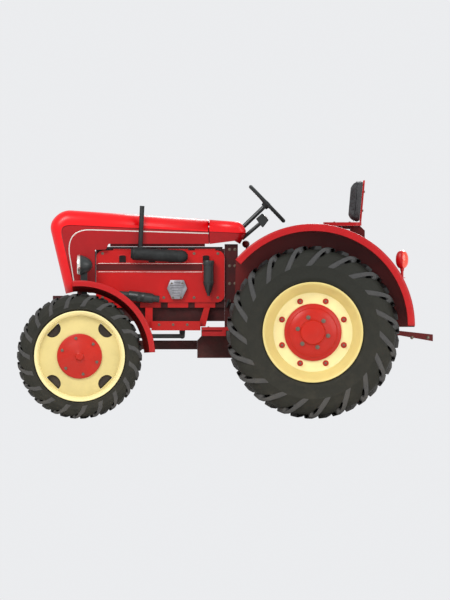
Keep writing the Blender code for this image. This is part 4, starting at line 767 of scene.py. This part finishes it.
# ---- Headlights
# A black bowl with a bright rim and a fluted lens, on a strap bolted to the hood's cheek.
lamp_black = painted("black enamel", srgb(44, 48, 48), 0.32, 0.10, 1.6)
lens_glass = Look("fluted lamp glass", Metallic=0.55, Roughness=0.12, Coat_Weight=1.0)
flutes = (lens_glass.node("ShaderNodeSeparateXYZ", None, lens_glass.place, output="X") * 420).sine()
ripple = lens_glass.mixed(flutes * 0.5 + 0.5, srgb(196, 200, 200), srgb(240, 242, 240))
lens_glass.feed("Base Color", ripple)
lens_glass.feed("Normal", lens_glass.bumped(flutes, 0.5, 0.001))
for side, sign in (("left", 1), ("right", -1)):
    spot = Vector((sign * 0.3708, -1.257, 1.307))
    lamp = bmesh.new()
    bowl = [
        (0.012, 0.0), (0.012, 0.078), (0.016, 0.0835), (0.030, 0.0845), (0.042, 0.083),
        (0.060, 0.077), (0.080, 0.0685), (0.098, 0.0575), (0.113, 0.045), (0.123, 0.033),
        (0.129, 0.020), (0.1315, 0.0),
    ]
    lathe(lamp, bowl, spot, (0, 1, 0), 64, look=0)
    ring = [
        (0.001, 0.0735), (0.000, 0.0790), (0.004, 0.0850), (0.012, 0.0870), (0.020, 0.0870),
        (0.026, 0.0850), (0.026, 0.0740),
    ]
    lathe(lamp, ring, spot, (0, 1, 0), 64, look=1)
    lens = [
        (0.0035, 0.0), (0.0045, 0.030), (0.0075, 0.060),
        (0.0105, 0.0745), (0.016, 0.0745), (0.016, 0.0),
    ]
    lathe(lamp, lens, spot, (0, 1, 0), 64, look=2)
    outwards(lamp)
    strap = (spot.y + 0.030, spot.y + 0.088)
    slab(lamp, (sign * 0.2654, sign * 0.2730), strap, (1.140, 1.210), 0, 0.002)
    slab(lamp, (sign * 0.2690, sign * 0.3860), strap, (1.1680, 1.1820), 0, 0.003)
    slab(lamp, (sign * 0.3560, sign * 0.3850), strap, (1.170, 1.262), 0, 0.004)
    for z in (1.152, 1.197):
        nut(lamp, (sign * 0.2725, spot.y + 0.059, z), (sign, 0, 0), 0.014, 0.008, look=3)
    nut(lamp, (sign * 0.3705, spot.y + 0.059, 1.1690), (0, 0, -1), 0.018, 0.011, look=3)
    looks = [lamp_black, plated, lens_glass.material, bolt_steel]
    finished(f"headlight_{side}_bowl", lamp, looks, "hood", [f"headlight_{side}"], 35)

# ---- Engine and what is bolted to it
# Cast block behind pressed side panels. Each panel has a recessed band, in a darker red as painted shade,
# edged with bright beading, arched slots above it whose near-black faces are painted shade in place of
# openings, and bolts along its top and foot.
panel_red = painted("red enamel, engine panel", srgb(186, 0, 0), 0.40, 0.08, 1.5, 0.05)
# A darker copy of the panel red for the recessed band: painted shade.
band_painted_shade = painted("dark red, painted shade of the recessed band", srgb(84, 0, 0), 0.45, 0.08, 1.5, 0.04)
# Near-black red for the slot faces and the sheets inside the hood: painted shade in place of openings and
# gaps.
opening_painted_shade = cast("painted shade of openings", srgb(30, 8, 8), 0.75)
fender_red = painted("red enamel, fender", srgb(164, 0, 6), 0.38, 0.05, 1.6, 0.05)
# A darker copy of the fender red for the fenders' inner walls: painted shade. The drawbar, seat support
# and gear lever take it too.
dark_red_and_painted_shade = painted("dark red enamel, painted shade on inner walls", srgb(92, 0, 0), 0.45, 0.06, 1.6, 0.04)
maroon = cast("maroon casting", srgb(62, 2, 4), 0.58, 0.08)
black_steel = cast("black steel", srgb(38, 44, 44), 0.5, 0.10, 0.3)
grey_alloy = cast("grey alloy", srgb(150, 150, 155), 0.45, 0.08, 0.5)


def arched(centre, width, low, high, steps=7):
    """The outline of a slot with a rounded top."""
    half = width / 2
    rise = half * 0.35
    turns = [pi * step / steps for step in range(steps + 1)]
    arch = [(centre + half * cos(turn), high - rise + rise * sin(turn)) for turn in turns]
    return [(centre - half, low), (centre + half, low), *arch]


# Near-black sheets behind the nose and across the hood's rear gaps: painted shade inside the hood. The
# slab on the block is the head cover.
shade_liner = bmesh.new()
slab(shade_liner, (-0.150, 0.150), (-1.1665, -1.0968), (1.070, 1.425), 0, 0.006)
slab(shade_liner, (-0.185, 0.185), (-1.080, -0.020), (1.4452, 1.4612), 1, 0.004)
for sign in (1, -1):
    slab(shade_liner, (sign * 0.2460, sign * 0.2535), (-0.165, -0.1305), (1.490, 1.628), 0, 0.001)
slab(shade_liner, (-0.170, 0.170), (-0.150, -0.1305), (1.640, 1.6690), 0, 0.003)
# The side flanges are tabs inside the hood, darkened as the painted shade under the hood's edge.
flanges = bmesh.new()
for sign in (1, -1):
    slab(flanges, (sign * 0.2385, sign * 0.2445), (-0.975, -0.170), (1.4640, 1.600), 0, 0.001)
finished("hood_side_flanges", flanges, [inside_red_painted_shade], "hood", sharp=35)
finished("shade_sheets_and_head_cover", shade_liner, [opening_painted_shade, maroon], "root", sharp=35)

PANEL_X = 0.2223
for side, sign in (("left", 1), ("right", -1)):
    trims = bmesh.new()
    for z in (1.2485, 1.3205):
        line = [Vector((-1.080, z)), Vector((-0.60, z)), Vector((-0.190, z))]
        strip(trims, line, sign * (PANEL_X - 0.0004), 0.006, 0.003, 0)
    for y in (-0.870, -0.620, -0.450, -0.160):
        back, frame_face, slot_face = (sign * (PANEL_X + rise) for rise in (-0.001, 0.0028, 0.0032))
        plate(trims, arched(y, 0.076, 1.322, 1.398), "X", back, frame_face, 1, 0.001)
        # Each slot is a near-black plate in front of its frame: painted shade in place of an opening.
        plate(trims, arched(y, 0.058, 1.328, 1.390), "X", back, slot_face, 2)
    # The recessed band between the beads, in the darker red of painted shade.
    slab(trims, (sign * 0.2150, sign * 0.2168), (-1.0940, -0.192), (1.2600, 1.3130), 3)
    for y in (-1.040, -0.780, -0.520, -0.262, -0.060):
        for z in (1.030, 1.405):
            nut(trims, (sign * PANEL_X, y, z), (sign, 0, 0), 0.017, 0.007, 4)
    bmesh.ops.recalc_face_normals(trims, faces=trims.faces[:])
    looks = [plated, panel_red, opening_painted_shade, band_painted_shade, bolt_steel]
    finished(f"engine_panel_trims_{side}", trims, looks, "root")

# ---- Fuel filter, injection pump cover, starter and exhaust
# All on the left of the engine: a black canister, a ribbed alloy crest, a starter with two clamp
# bands and a welded muffler with its upright pipe.
canister = bmesh.new()
filter_spot = Vector((0.2716, -0.139, 1.044))
can = [
    (0.000, 0.0), (0.000, 0.012), (0.020, 0.014), (0.030, 0.022), (0.088, 0.040), (0.096, 0.0435),
    (0.112, 0.0440), (0.113, 0.0485), (0.121, 0.0485), (0.122, 0.0440), (0.262, 0.0440),
    (0.264, 0.0480), (0.272, 0.0488), (0.296, 0.0488), (0.3015, 0.0460), (0.3025, 0.0400),
    (0.3028, 0.0),
]
lathe(canister, can, filter_spot, (0, 0, 1), 48)
outwards(canister)
nut(canister, filter_spot + Vector((0, 0, 0.2985)), (0, 0, 1), 0.020, 0.0045, 1)
slab(canister, (0.2228, 0.2716), (-0.165, -0.113), (1.300, 1.336), 0, 0.003)
looks = [lamp_black, bolt_steel]
finished("fuel_filter_canister", canister, looks, "root", ["fuel_filter"], 35)

crest = bmesh.new()
shield = [
    (-0.450, 1.018), (-0.364, 1.018), (-0.321, 1.108),
    (-0.349, 1.180), (-0.465, 1.180), (-0.493, 1.108),
]
plate(crest, shield, "X", 0.2228, 0.2560, 0, 0.004)
for row in range(5):
    z = 1.050 + row * 0.0215
    half = 0.030 + row * 0.0080
    slab(crest, (0.2540, 0.2635), (-0.407 - half, -0.407 + half), (z, z + 0.010), 0, 0.0025)
slab(crest, (0.2540, 0.2665), (-0.432, -0.382), (1.158, 1.174), 0, 0.003)
for y, z in ((-0.452, 1.150), (-0.362, 1.150), (-0.440, 1.030), (-0.374, 1.030)):
    nut(crest, (0.2555, y, z), (1, 0, 0), 0.013, 0.007, 1)
looks = [grey_alloy, bolt_steel]
finished("pump_cover_ribbed", crest, looks, "root", ["pump_cover"], 35)

starter = bmesh.new()
starter_spot = Vector((0.2666, -0.9213, 1.060))
starter_line = Vector((0, 1, -0.12)).normalized()
motor = [
    (0.000, 0.0), (0.000, 0.018), (0.004, 0.021), (0.018, 0.022), (0.022, 0.030), (0.098, 0.033),
    (0.102, 0.0405), (0.106, 0.0425), (0.172, 0.0425), (0.174, 0.0438), (0.188, 0.0438),
    (0.190, 0.0425), (0.226, 0.0425), (0.228, 0.0438), (0.242, 0.0438), (0.244, 0.0425),
    (0.304, 0.0420), (0.310, 0.0380), (0.326, 0.0300), (0.360, 0.0290), (0.367, 0.026),
    (0.368, 0.0),
]
lathe(starter, motor, starter_spot, starter_line, 48)
outwards(starter)
slab(starter, (0.2228, 0.2500), (-0.760, -0.640), (1.010, 1.060), 0, 0.004)
finished("starter_motor_cased", starter, [lamp_black], "root", ["starter_motor"], 35)

exhaust = bmesh.new()
muffler_spot = Vector((0.3000, -0.8003, 1.405))
muffler_line = Vector((0, 0.485, -0.028)).normalized()
drum = [
    (0.000, 0.0), (0.000, 0.037), (0.003, 0.0400), (0.006, 0.0400), (0.020, 0.0530),
    (0.024, 0.0545), (0.034, 0.0545), (0.036, 0.0525), (0.420, 0.0525), (0.422, 0.0545),
    (0.432, 0.0545), (0.440, 0.0520), (0.466, 0.0440), (0.482, 0.0240), (0.486, 0.0210),
    (0.486, 0.0),
]
lathe(exhaust, drum, muffler_spot, muffler_line, 64)
outlet = [(0.0, 0.0), (0.0, 0.0250), (0.034, 0.0250), (0.040, 0.0235), (0.040, 0.0)]
pipe_line = Vector((0, 0.016, 0.347)).normalized()
pipe_foot = Vector((0.3000, -0.7193, 1.464))
lathe(exhaust, outlet, pipe_foot - pipe_line * 0.040, pipe_line, 32)
stub = [(0.0, 0.0), (0.0, 0.023), (0.058, 0.023), (0.058, 0.0)]
lathe(exhaust, stub, (0.2228, -0.5003, 1.392), (1, 0, 0), 32)
outwards(exhaust)
black_heat = cast("heat-blackened steel", srgb(40, 42, 42), 0.55, 0.06, 0.4)
finished("exhaust_muffler_welded", exhaust, [black_heat], "root", ["exhaust_muffler"], 35)
pipe = bmesh.new()
tube = [
    (0.0005, 0.0165), (0.0005, 0.0198), (0.345, 0.0198),
    (0.3465, 0.0190), (0.3465, 0.0172), (0.344, 0.0165),
]
lathe(pipe, tube, pipe_foot, pipe_line, 40)
outwards(pipe)
finished("exhaust_pipe_open", pipe, [black_heat], "root", ["exhaust_pipe"], 35)

# ---- Fenders
# Rolled sheet: a rounded crown with a turned-in outer lip and an inner wall in a darker copy of the red,
# as painted shade, over all four wheels; the rear ones carry a stalk for the tail lamp, the front ones
# stand on a stay.


REAR_ARC = (0.749, 0.7905)
FRONT_ARC = (-1.236, 0.532)


def arc_sheet(bm, section, centre, first, last, steps, inner_wall=0):
    """Sweep a section of (x, radius) points about centre; angles are from +Y upwards.

    inner_wall is the look of the section's last strip; the others take the first look.
    """
    rows = []
    for step in range(steps + 1):
        angle = first + (last - first) * step / steps
        across, up = cos(angle), sin(angle)
        spots = [(x, centre[0] + r * across, centre[1] + r * up) for x, r in section]
        rows.append([bm.verts.new(spot) for spot in spots])
    for first_row, second_row in zip(rows, rows[1:]):
        loops = zip(first_row, first_row[1:], second_row[1:], second_row)
        strips = [bm.faces.new(loop) for loop in loops]
        strips[-1].material_index = inner_wall
    return bm


def fender_section(low, high, radius, lip, wall, bulge):
    """Outer lip, rounded edge, gently arched crown, rounded edge and inner wall."""
    points = [(high - 0.0015, radius - lip), (high, radius - lip + 0.006), (high, radius - bulge)]
    for step in range(1, 6):
        angle = pi / 2 * step / 5
        points.append((high - bulge + bulge * cos(angle), radius - bulge + bulge * sin(angle)))
    for step in range(1, 6):
        angle = pi / 2 * step / 5
        points.append((low + bulge - bulge * sin(angle), radius - bulge + bulge * cos(angle)))
    return points + [(low, radius - wall)]


for side, sign in (("left", 1), ("right", -1)):
    sheet = bmesh.new()
    section = [(sign * x, r) for x, r in fender_section(0.4905, 0.8495, 0.8675, 0.062, 0.062, 0.016)]
    arc_sheet(sheet, section, REAR_ARC, 0.0, radians(139.6), 72)
    outwards(sheet)
    rear_node = f"rear_fender_{side}"
    fender = finished(f"{rear_node}_crown", sheet, [fender_red], "root", [rear_node], 30)
    walled(fender, 0.006, dark_red_and_painted_shade)
    if sign * fender.data.polygons[2].normal.x < 0:
        fender.modifiers["wall"].offset = 1
    # The flat inner side wall of the rear fender, in the darker red of painted shade.
    wall = bmesh.new()
    turns = [radians(139.4) * step / 60 for step in range(61)]
    rim_line = [(REAR_ARC[0] + 0.864 * cos(turn), REAR_ARC[1] + 0.864 * sin(turn)) for turn in turns]
    turns = [pi * step / 16 for step in range(17)]
    hollow = [(0.748 + 0.062 * cos(pi - turn), 0.7805 + 0.012 * sin(turn)) for turn in turns]
    wall_line = rim_line + [(0.081, 0.7805)] + hollow + [(1.612, 0.7805)]
    plate(wall, wall_line, "X", sign * 0.4912, sign * 0.4975, 0)
    bar_line = [(0.0, 0.0), (0.0, 0.0118), (0.062, 0.0118), (0.062, 0.0)]
    lathe(wall, bar_line, (sign * 0.700, 1.506, 1.1930), (0, 0, 1), 24, look=1)
    flange = [(0.0, 0.0), (0.0, 0.026), (0.006, 0.026), (0.012, 0.013), (0.012, 0.0)]
    lathe(wall, flange, (sign * 0.700, 1.506, 1.1955), (0, 0, 1), 24, look=1)
    outwards(wall)
    looks = [dark_red_and_painted_shade, fender_red]
    finished(f"{rear_node}_wall", wall, looks, "root", [rear_node], 30)

    guard = bmesh.new()
    section = [(sign * x, r) for x, r in fender_section(0.5855, 0.8145, 0.6445, 0.050, 0.095, 0.014)]
    arc_sheet(guard, section, FRONT_ARC, radians(3), radians(96), 48, inner_wall=1)
    outwards(guard)
    front_node = f"front_fender_{side}"
    knuckle = f"knuckle_{side}"
    # The front fender's inner wall strip takes the darker red of painted shade.
    looks = [fender_red, dark_red_and_painted_shade]
    guard_piece = finished(f"{front_node}_crown", guard, looks, knuckle, [front_node], 30)
    walled(guard_piece, 0.006, dark_red_and_painted_shade)
    if sign * guard_piece.data.polygons[2].normal.x < 0:
        guard_piece.modifiers["wall"].offset = 1
    stay = bmesh.new()
    slab(stay, (sign * 0.5485, sign * 0.5900), (-1.2555, -1.2165), (0.7505, 1.139), 0, 0.004)
    for z in (1.100, 1.122):
        nut(stay, (sign * 0.5490, -1.236, z), (-sign, 0, 0), 0.013, 0.006, 1)
    looks = [maroon, bolt_steel]
    finished(f"{front_node}_stay", stay, looks, knuckle, [front_node], 35)

# ---- Tail lamps
# An oval body in red enamel with a moulded orange lens let into its rear half.
lens_orange = Look("orange lens", Coat_Weight=1.0, Coat_Roughness=0.05)
ribs = (lens_orange.height() * 900).sine()
lens_orange.feed("Base Color", lens_orange.mixed(ribs * 0.5 + 0.5, srgb(214, 40, 6), srgb(240, 64, 14)))
lens_orange.feed("Roughness", lens_orange.noise(60) * 0.1 + 0.12)
lens_orange.feed("Normal", lens_orange.bumped(ribs, 0.4, 0.0008))
for side, sign in (("left", 1), ("right", -1)):
    tail = bmesh.new()
    oval = [(0.0, 0.0), (0.0, 0.014), (0.012, 0.0165), (0.020, 0.018)]
    for step in range(25):
        angle = pi * step / 24
        oval.append((0.098 - 0.074 * cos(angle), 0.018 + 0.0365 * sin(angle)))
    oval += [(0.176, 0.012), (0.1805, 0.0)]
    lathe(tail, oval, (sign * 0.700, 1.506, 1.255), (0, 0, 1), 64, look=0)
    outwards(tail)
    for face in tail.faces:
        if face.calc_center_median().y > 1.512 and face.calc_center_median().z > 1.279:
            face.material_index = 1
    node = f"tail_lamp_{side}"
    looks = [fender_red, lens_orange.material]
    finished(f"{node}_lens", tail, looks, "root", [node], 35)

# ---- Steering wheel
# A moulded ring with finger grips below it, three steel spokes and a capped hub.
black_plastic = rubber("black moulding", srgb(30, 34, 34), 0.05)
wheel_spot = Vector((0, 0.3588, 1.8270))
wheel_line = Vector((0, 0.7202, 0.6937)).normalized()
wheel_place = Matrix.Translation(wheel_spot) @ wheel_line.to_track_quat("Z", "Y").to_matrix().to_4x4()
ring = bmesh.new()
turns, rounds = 144, 16
grid = []
for turn in range(turns):
    angle = 2 * pi * turn / turns
    row = []
    for part in range(rounds):
        lie = 2 * pi * part / rounds
        grip = 0.0014 * (1 - cos(angle * 36)) * max(0.0, -sin(lie))
        tube = 0.0185 - grip
        reach = 0.198 + tube * cos(lie)
        spot = Vector((reach * cos(angle), reach * sin(angle), tube * sin(lie) * 0.92))
        row.append(ring.verts.new(wheel_place @ spot))
    grid.append(row)
for turn in range(turns):
    first, second = grid[turn], grid[(turn + 1) % turns]
    for part in range(rounds):
        after = (part + 1) % rounds
        ring.faces.new([first[part], second[part], second[after], first[after]])
hub = [
    (-0.040, 0.0), (-0.040, 0.028), (-0.034, 0.0300), (-0.012, 0.0350), (0.004, 0.0350),
    (0.010, 0.0330), (0.0135, 0.0290), (0.0150, 0.0285), (0.0190, 0.020), (0.0198, 0.0),
]
lathe(ring, hub, wheel_spot, wheel_line, 48, look=0)
for number in range(3):
    angle = 2 * pi * number / 3 + pi / 2
    reach = Vector((cos(angle), sin(angle), 0))
    start, end = wheel_place @ (reach * 0.020 + Vector((0, 0, -0.012))), wheel_place @ (reach * 0.190)
    length = (end - start).length
    spoke = [
        (0.0, 0.0), (0.0, 0.0105), (0.030, 0.0085),
        (0.140, 0.0080), (length, 0.0095), (length, 0.0),
    ]
    lathe(ring, spoke, start, end - start, 20, look=1)
outwards(ring)
looks = [black_plastic, black_steel]
node = "steering_wheel"
finished(f"{node}_moulded", ring, looks, node, [node], 50)

# ---- Seat
# A pressed pan on a bent bracket, with a plate behind the backrest cushion: leathercloth over
# foam, piped along its edges, softly filled, and held by four bolts through the plate.
leathercloth = Look("black leathercloth", Specular_IOR_Level=0.45)
creases = leathercloth.noise(16, 5, 0.6)
grain = leathercloth.cells(640, "DISTANCE_TO_EDGE")
tone = leathercloth.mixed(creases.step(0.3, 0.7), srgb(34, 34, 36), srgb(52, 52, 54))
leathercloth.feed("Base Color", leathercloth.mixed(grain.step(0.0, 0.12), srgb(22, 22, 24), tone))
leathercloth.feed("Roughness", creases * 0.25 + 0.45)
pebbles = leathercloth.bumped(grain.step(0.0, 0.25), 0.35, 0.0006)
leathercloth.feed("Normal", leathercloth.bumped(creases, 0.25, 0.004, pebbles))
CUSHION_FOOT = 1.6713
CUSHION_LEAN = 0.0315 / 0.356
CUSHION_MIDDLE = 1.85
CUSHION_HALF_WIDTH = 0.205
CUSHION_HALF_HEIGHT = 0.167
COARSE_VOXEL, FINE_VOXEL = 0.012, 0.0055
SETTLING_FRAMES = 20
MOST_MOVE = 0.026


def cushion_front(z):
    """How far back the plate's face is at a height, less a small gap."""
    return 1.1443 + (z - CUSHION_FOOT) * CUSHION_LEAN - 0.0006


def limited(value, low, high):
    return max(low, min(high, value))


cushion_bm = bmesh.new()
corner_path = []
for cx, cz, first in ((0.155, 1.967, 0), (-0.155, 1.967, 1), (-0.155, 1.733, 2), (0.155, 1.733, 3)):
    for step in range(7):
        angle = pi / 2 * (first + step / 6)
        corner_path.append((cx + 0.050 * cos(angle), cz + 0.050 * sin(angle)))
rest_low, rest_high = 1.683, 2.017
outline = [(x, limited(z, rest_low, rest_high)) for x, z in corner_path]
rings = []
for depth, inset in ((0.0, 0.006), (0.006, 0.0), (0.060, 0.0), (0.078, 0.010), (0.088, 0.030)):
    wide, tall = 1 - inset / CUSHION_HALF_WIDTH, 1 - inset / CUSHION_HALF_HEIGHT
    ring = []
    for x, z in outline:
        level = CUSHION_MIDDLE + (z - CUSHION_MIDDLE) * tall
        ring.append(Vector((x * wide, cushion_front(level) - depth, level)))
    rings.append(ring)
lofted(cushion_bm, rings)
outwards(cushion_bm)
node = "backrest_cushion"
looks = [leathercloth.material]
cushion = finished(f"{node}_soft", cushion_bm, looks, "root", [node], 60)
bpy.context.view_layer.objects.active = cushion
remesh = cushion.modifiers.new("even mesh", "REMESH")
remesh.mode = "VOXEL"
remesh.voxel_size = FINE_VOXEL
kept(cushion)
at_rest = [vert.co.copy() for vert in cushion.data.vertices]
held = cushion.vertex_groups.new(name="held")
verts = cushion.data.vertices
back_line = [vert.index for vert in verts if vert.co.y > cushion_front(vert.co.z) - 0.010]
held.add(back_line, 1.0, "REPLACE")
cloth = cushion.modifiers.new("stuffed cover", "CLOTH")
cloth.settings.quality = 6
cloth.settings.mass = 0.3
cloth.settings.tension_stiffness = 18
cloth.settings.compression_stiffness = 18
cloth.settings.shear_stiffness = 8
cloth.settings.bending_stiffness = 2.0
cloth.settings.use_pressure = True
cloth.settings.uniform_pressure_force = 4
cloth.settings.shrink_min = 0.0
cloth.settings.vertex_group_mass = "held"
cloth.settings.effector_weights.gravity = 0
cloth.point_cache.frame_start, cloth.point_cache.frame_end = 1, SETTLING_FRAMES
for number in range(1, SETTLING_FRAMES + 1):
    bpy.context.scene.frame_set(number)
kept(cushion)
bpy.context.scene.frame_set(1)
for vert, start in zip(cushion.data.vertices, at_rest):
    move = vert.co - start
    if move.length > MOST_MOVE:
        move = move.normalized() * MOST_MOVE
    vert.co = start + move
for vert in cushion.data.vertices:
    x, y, z = vert.co
    z = limited(z, 1.6755, 2.0215)
    y = limited(y, cushion_front(z) - 0.1005, cushion_front(z))
    vert.co = (limited(x, -0.2095, 0.2095), y, z)
for polygon in cushion.data.polygons:
    polygon.use_smooth = True

welt = bmesh.new()
piping = []
for x, z in outline:
    level = limited(CUSHION_MIDDLE + (z - CUSHION_MIDDLE) * 1.01, 1.680, 2.0175)
    piping.append(Vector((x * 1.004, cushion_front(z) - 0.052, level)))
rows = []
for spot, point in enumerate(piping):
    before, after = piping[spot - 1], piping[(spot + 1) % len(piping)]
    outward = Vector(((after - before).z, 0, -(after - before).x)).normalized()
    if outward.dot(Vector((point.x, 0, point.z - CUSHION_MIDDLE))) < 0:
        outward.negate()
    row = []
    for part in range(8):
        lie = 2 * pi * part / 8
        around = outward * (0.0032 * cos(lie)) + Vector((0, 0.0032 * sin(lie), 0))
        row.append(welt.verts.new(point + around))
    rows.append(row)
for spot, row in enumerate(rows):
    second = rows[(spot + 1) % len(rows)]
    for part in range(8):
        after = (part + 1) % 8
        welt.faces.new([row[part], second[part], second[after], row[after]])
outwards(welt)
finished("backrest_piping", welt, [leathercloth.material], "root", sharp=60)

rest_bolts = bmesh.new()
for z in (1.770, 1.930):
    y = 1.1598 + (z - CUSHION_FOOT) * CUSHION_LEAN - 0.0005
    nut(rest_bolts, (0.055, y, z), (0, 1, 0), 0.018, 0.009)
    nut(rest_bolts, (-0.055, y, z), (0, 1, 0), 0.018, 0.009)
finished("backrest_bolts", rest_bolts, [bolt_steel], "root")
seat_nose = bmesh.new()
for x in (-0.03, 0.03):
    for y in (0.930, 1.060):
        nut(seat_nose, (x, y, 1.6708), (0, 0, 1), 0.016, 0.006)
finished("seat_bolts", seat_nose, [bolt_steel], "root")

# ---- Bolts and dial rings
# Dulled steel bolts on the drawbar, gearbox, bell housing, rails, front frame and footplates, and
# the bright rings of the two dials.
fittings = bmesh.new()
for y in (1.589, 1.725):
    nut(fittings, (0.0345, y, 0.690), (1, 0, 0), 0.020, 0.010)
    nut(fittings, (-0.0345, y, 0.690), (-1, 0, 0), 0.020, 0.010)
for sign in (1, -1):
    for y in (0.620, 0.700, 0.800, 0.880):
        nut(fittings, (sign * 0.1595, y, 0.945), (sign, 0, 0), 0.022, 0.011)
    for y in (0.040, 0.085):
        for z in (0.850, 1.000, 1.150, 1.300, 1.440):
            nut(fittings, (sign * 0.1995, y, z), (sign, 0, 0), 0.018, 0.009)
    for y in (-0.560, -0.440, -0.320):
        nut(fittings, (sign * 0.2845, y, 0.800), (sign, 0, 0), 0.016, 0.008)
    for y in (-1.330, -1.130):
        nut(fittings, (sign * 0.1595, y, 1.020), (sign, 0, 0), 0.020, 0.010)
    for y in (-0.14, 0.02, 0.18, 0.34):
        nut(fittings, (sign * 0.470, y, 0.7798), (0, 0, 1), 0.014, 0.006)
finished("fitting_bolts", fittings, [bolt_steel], "root")

dials = bmesh.new()
head_line = Vector((0, 0.664, 0.748)).normalized()
for x in (-0.030, 0.030):
    face_spot = Vector((x, 0.3440, 1.7215))
    bezel = [
        (-0.004, 0.0), (-0.004, 0.0225), (0.0015, 0.0225), (0.0025, 0.0205), (0.0015, 0.0185),
        (0.0010, 0.0180), (0.0010, 0.0),
    ]
    lathe(dials, bezel, face_spot, head_line, 40, look=0)
outwards(dials)
finished("instrument_bezels", dials, [plated], "root")

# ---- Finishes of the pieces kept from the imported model
# Cast housings in maroon, pressed parts in red, rods and pedals in black steel. The edges of all
# of them are softened.
KEPT = {
    "front_frame": maroon, "front_axle": maroon, "radiator": black_steel, "engine_block": maroon,
    "engine_panel_left": panel_red, "engine_panel_right": panel_red, "bell_housing": maroon,
    "gearbox": maroon, "frame_beam": maroon, "rear_axle_housing": maroon,
    "steering_box": black_steel, "steering_column": lamp_black, "instrument_stalk": lamp_black,
    "footplate_left": fender_red, "footplate_right": fender_red, "side_rail_left": panel_red,
    "side_rail_right": panel_red, "seat_support": dark_red_and_painted_shade, "seat_pan": fender_red,
    "backrest_plate": panel_red, "drawbar": dark_red_and_painted_shade, "gear_lever": dark_red_and_painted_shade,
    "pedal_left": black_steel, "pedal_right": black_steel, "grille": black_steel,
    "knuckle_left": maroon, "knuckle_right": maroon, "tie_rod": black_steel,
    "drag_link": black_steel, "drop_arm": black_steel,
}
for name, look in KEPT.items():
    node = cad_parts[name]
    for material_slot in node.material_slots:
        material_slot.material = look
    node.data.shade_smooth()
    node.data.set_sharp_from_angle(angle=radians(32))
    soften = node.modifiers.new("softened edges", "BEVEL")
    soften.width = 0.002
    soften.segments = 2
    soften.limit_method = "ANGLE"
    soften.angle_limit = radians(32)

# ---- Camera, floor and light
# A pale floor and soft lamps all round, seen square from the left side.
floor_mesh = bpy.data.meshes.new("floor")
floor_bm = bmesh.new()
bmesh.ops.create_grid(floor_bm, x_segments=1, y_segments=1, size=40)
floor_bm.to_mesh(floor_mesh)
floor_bm.free()
floor = bpy.data.objects.new("floor", floor_mesh)
bpy.context.collection.objects.link(floor)
ground = Look("pale floor", Roughness=0.9, Specular_IOR_Level=0.1)
ground.feed("Base Color", ground.mixed(ground.noise(2), srgb(240, 240, 240), srgb(244, 244, 244)))
floor_mesh.materials.append(ground.material)
world = bpy.data.worlds.new("studio")
world.use_nodes = True
world.node_tree.nodes["Background"].inputs["Color"].default_value = (0.97, 0.98, 1.0, 1)
world.node_tree.nodes["Background"].inputs["Strength"].default_value = 0.86
bpy.context.scene.world = world


def soft_lamp(name, spot, target, size, power):
    light = bpy.data.lights.new(name, "AREA")
    light.shape, light.size, light.energy = "DISK", size, power
    lamp = bpy.data.objects.new(name, light)
    lamp.location = spot
    lamp.rotation_euler = (Vector(target) - Vector(spot)).to_track_quat("-Z", "Y").to_euler()
    bpy.context.collection.objects.link(lamp)
    return lamp


key = soft_lamp("key", (4.5, -3.0, 5.0), (0, -0.2, 0.8), 3.0, 260)
fill = soft_lamp("fill", (4.0, 4.0, 2.5), (0, 0.3, 0.9), 3.5, 110)
back = soft_lamp("back", (-4.5, 1.5, 4.5), (0, 0, 1.0), 3.0, 200)
camera_data = bpy.data.cameras.new("camera")
camera_data.type = "ORTHO"
camera_data.ortho_scale = 5.1
camera = bpy.data.objects.new("camera", camera_data)
camera.location = (9.0, 0.0007, 1.0098)
camera.rotation_euler = (radians(90), 0, radians(90))
bpy.context.collection.objects.link(camera)
bpy.context.scene.camera = camera
bpy.context.scene.view_settings.view_transform = "Standard"
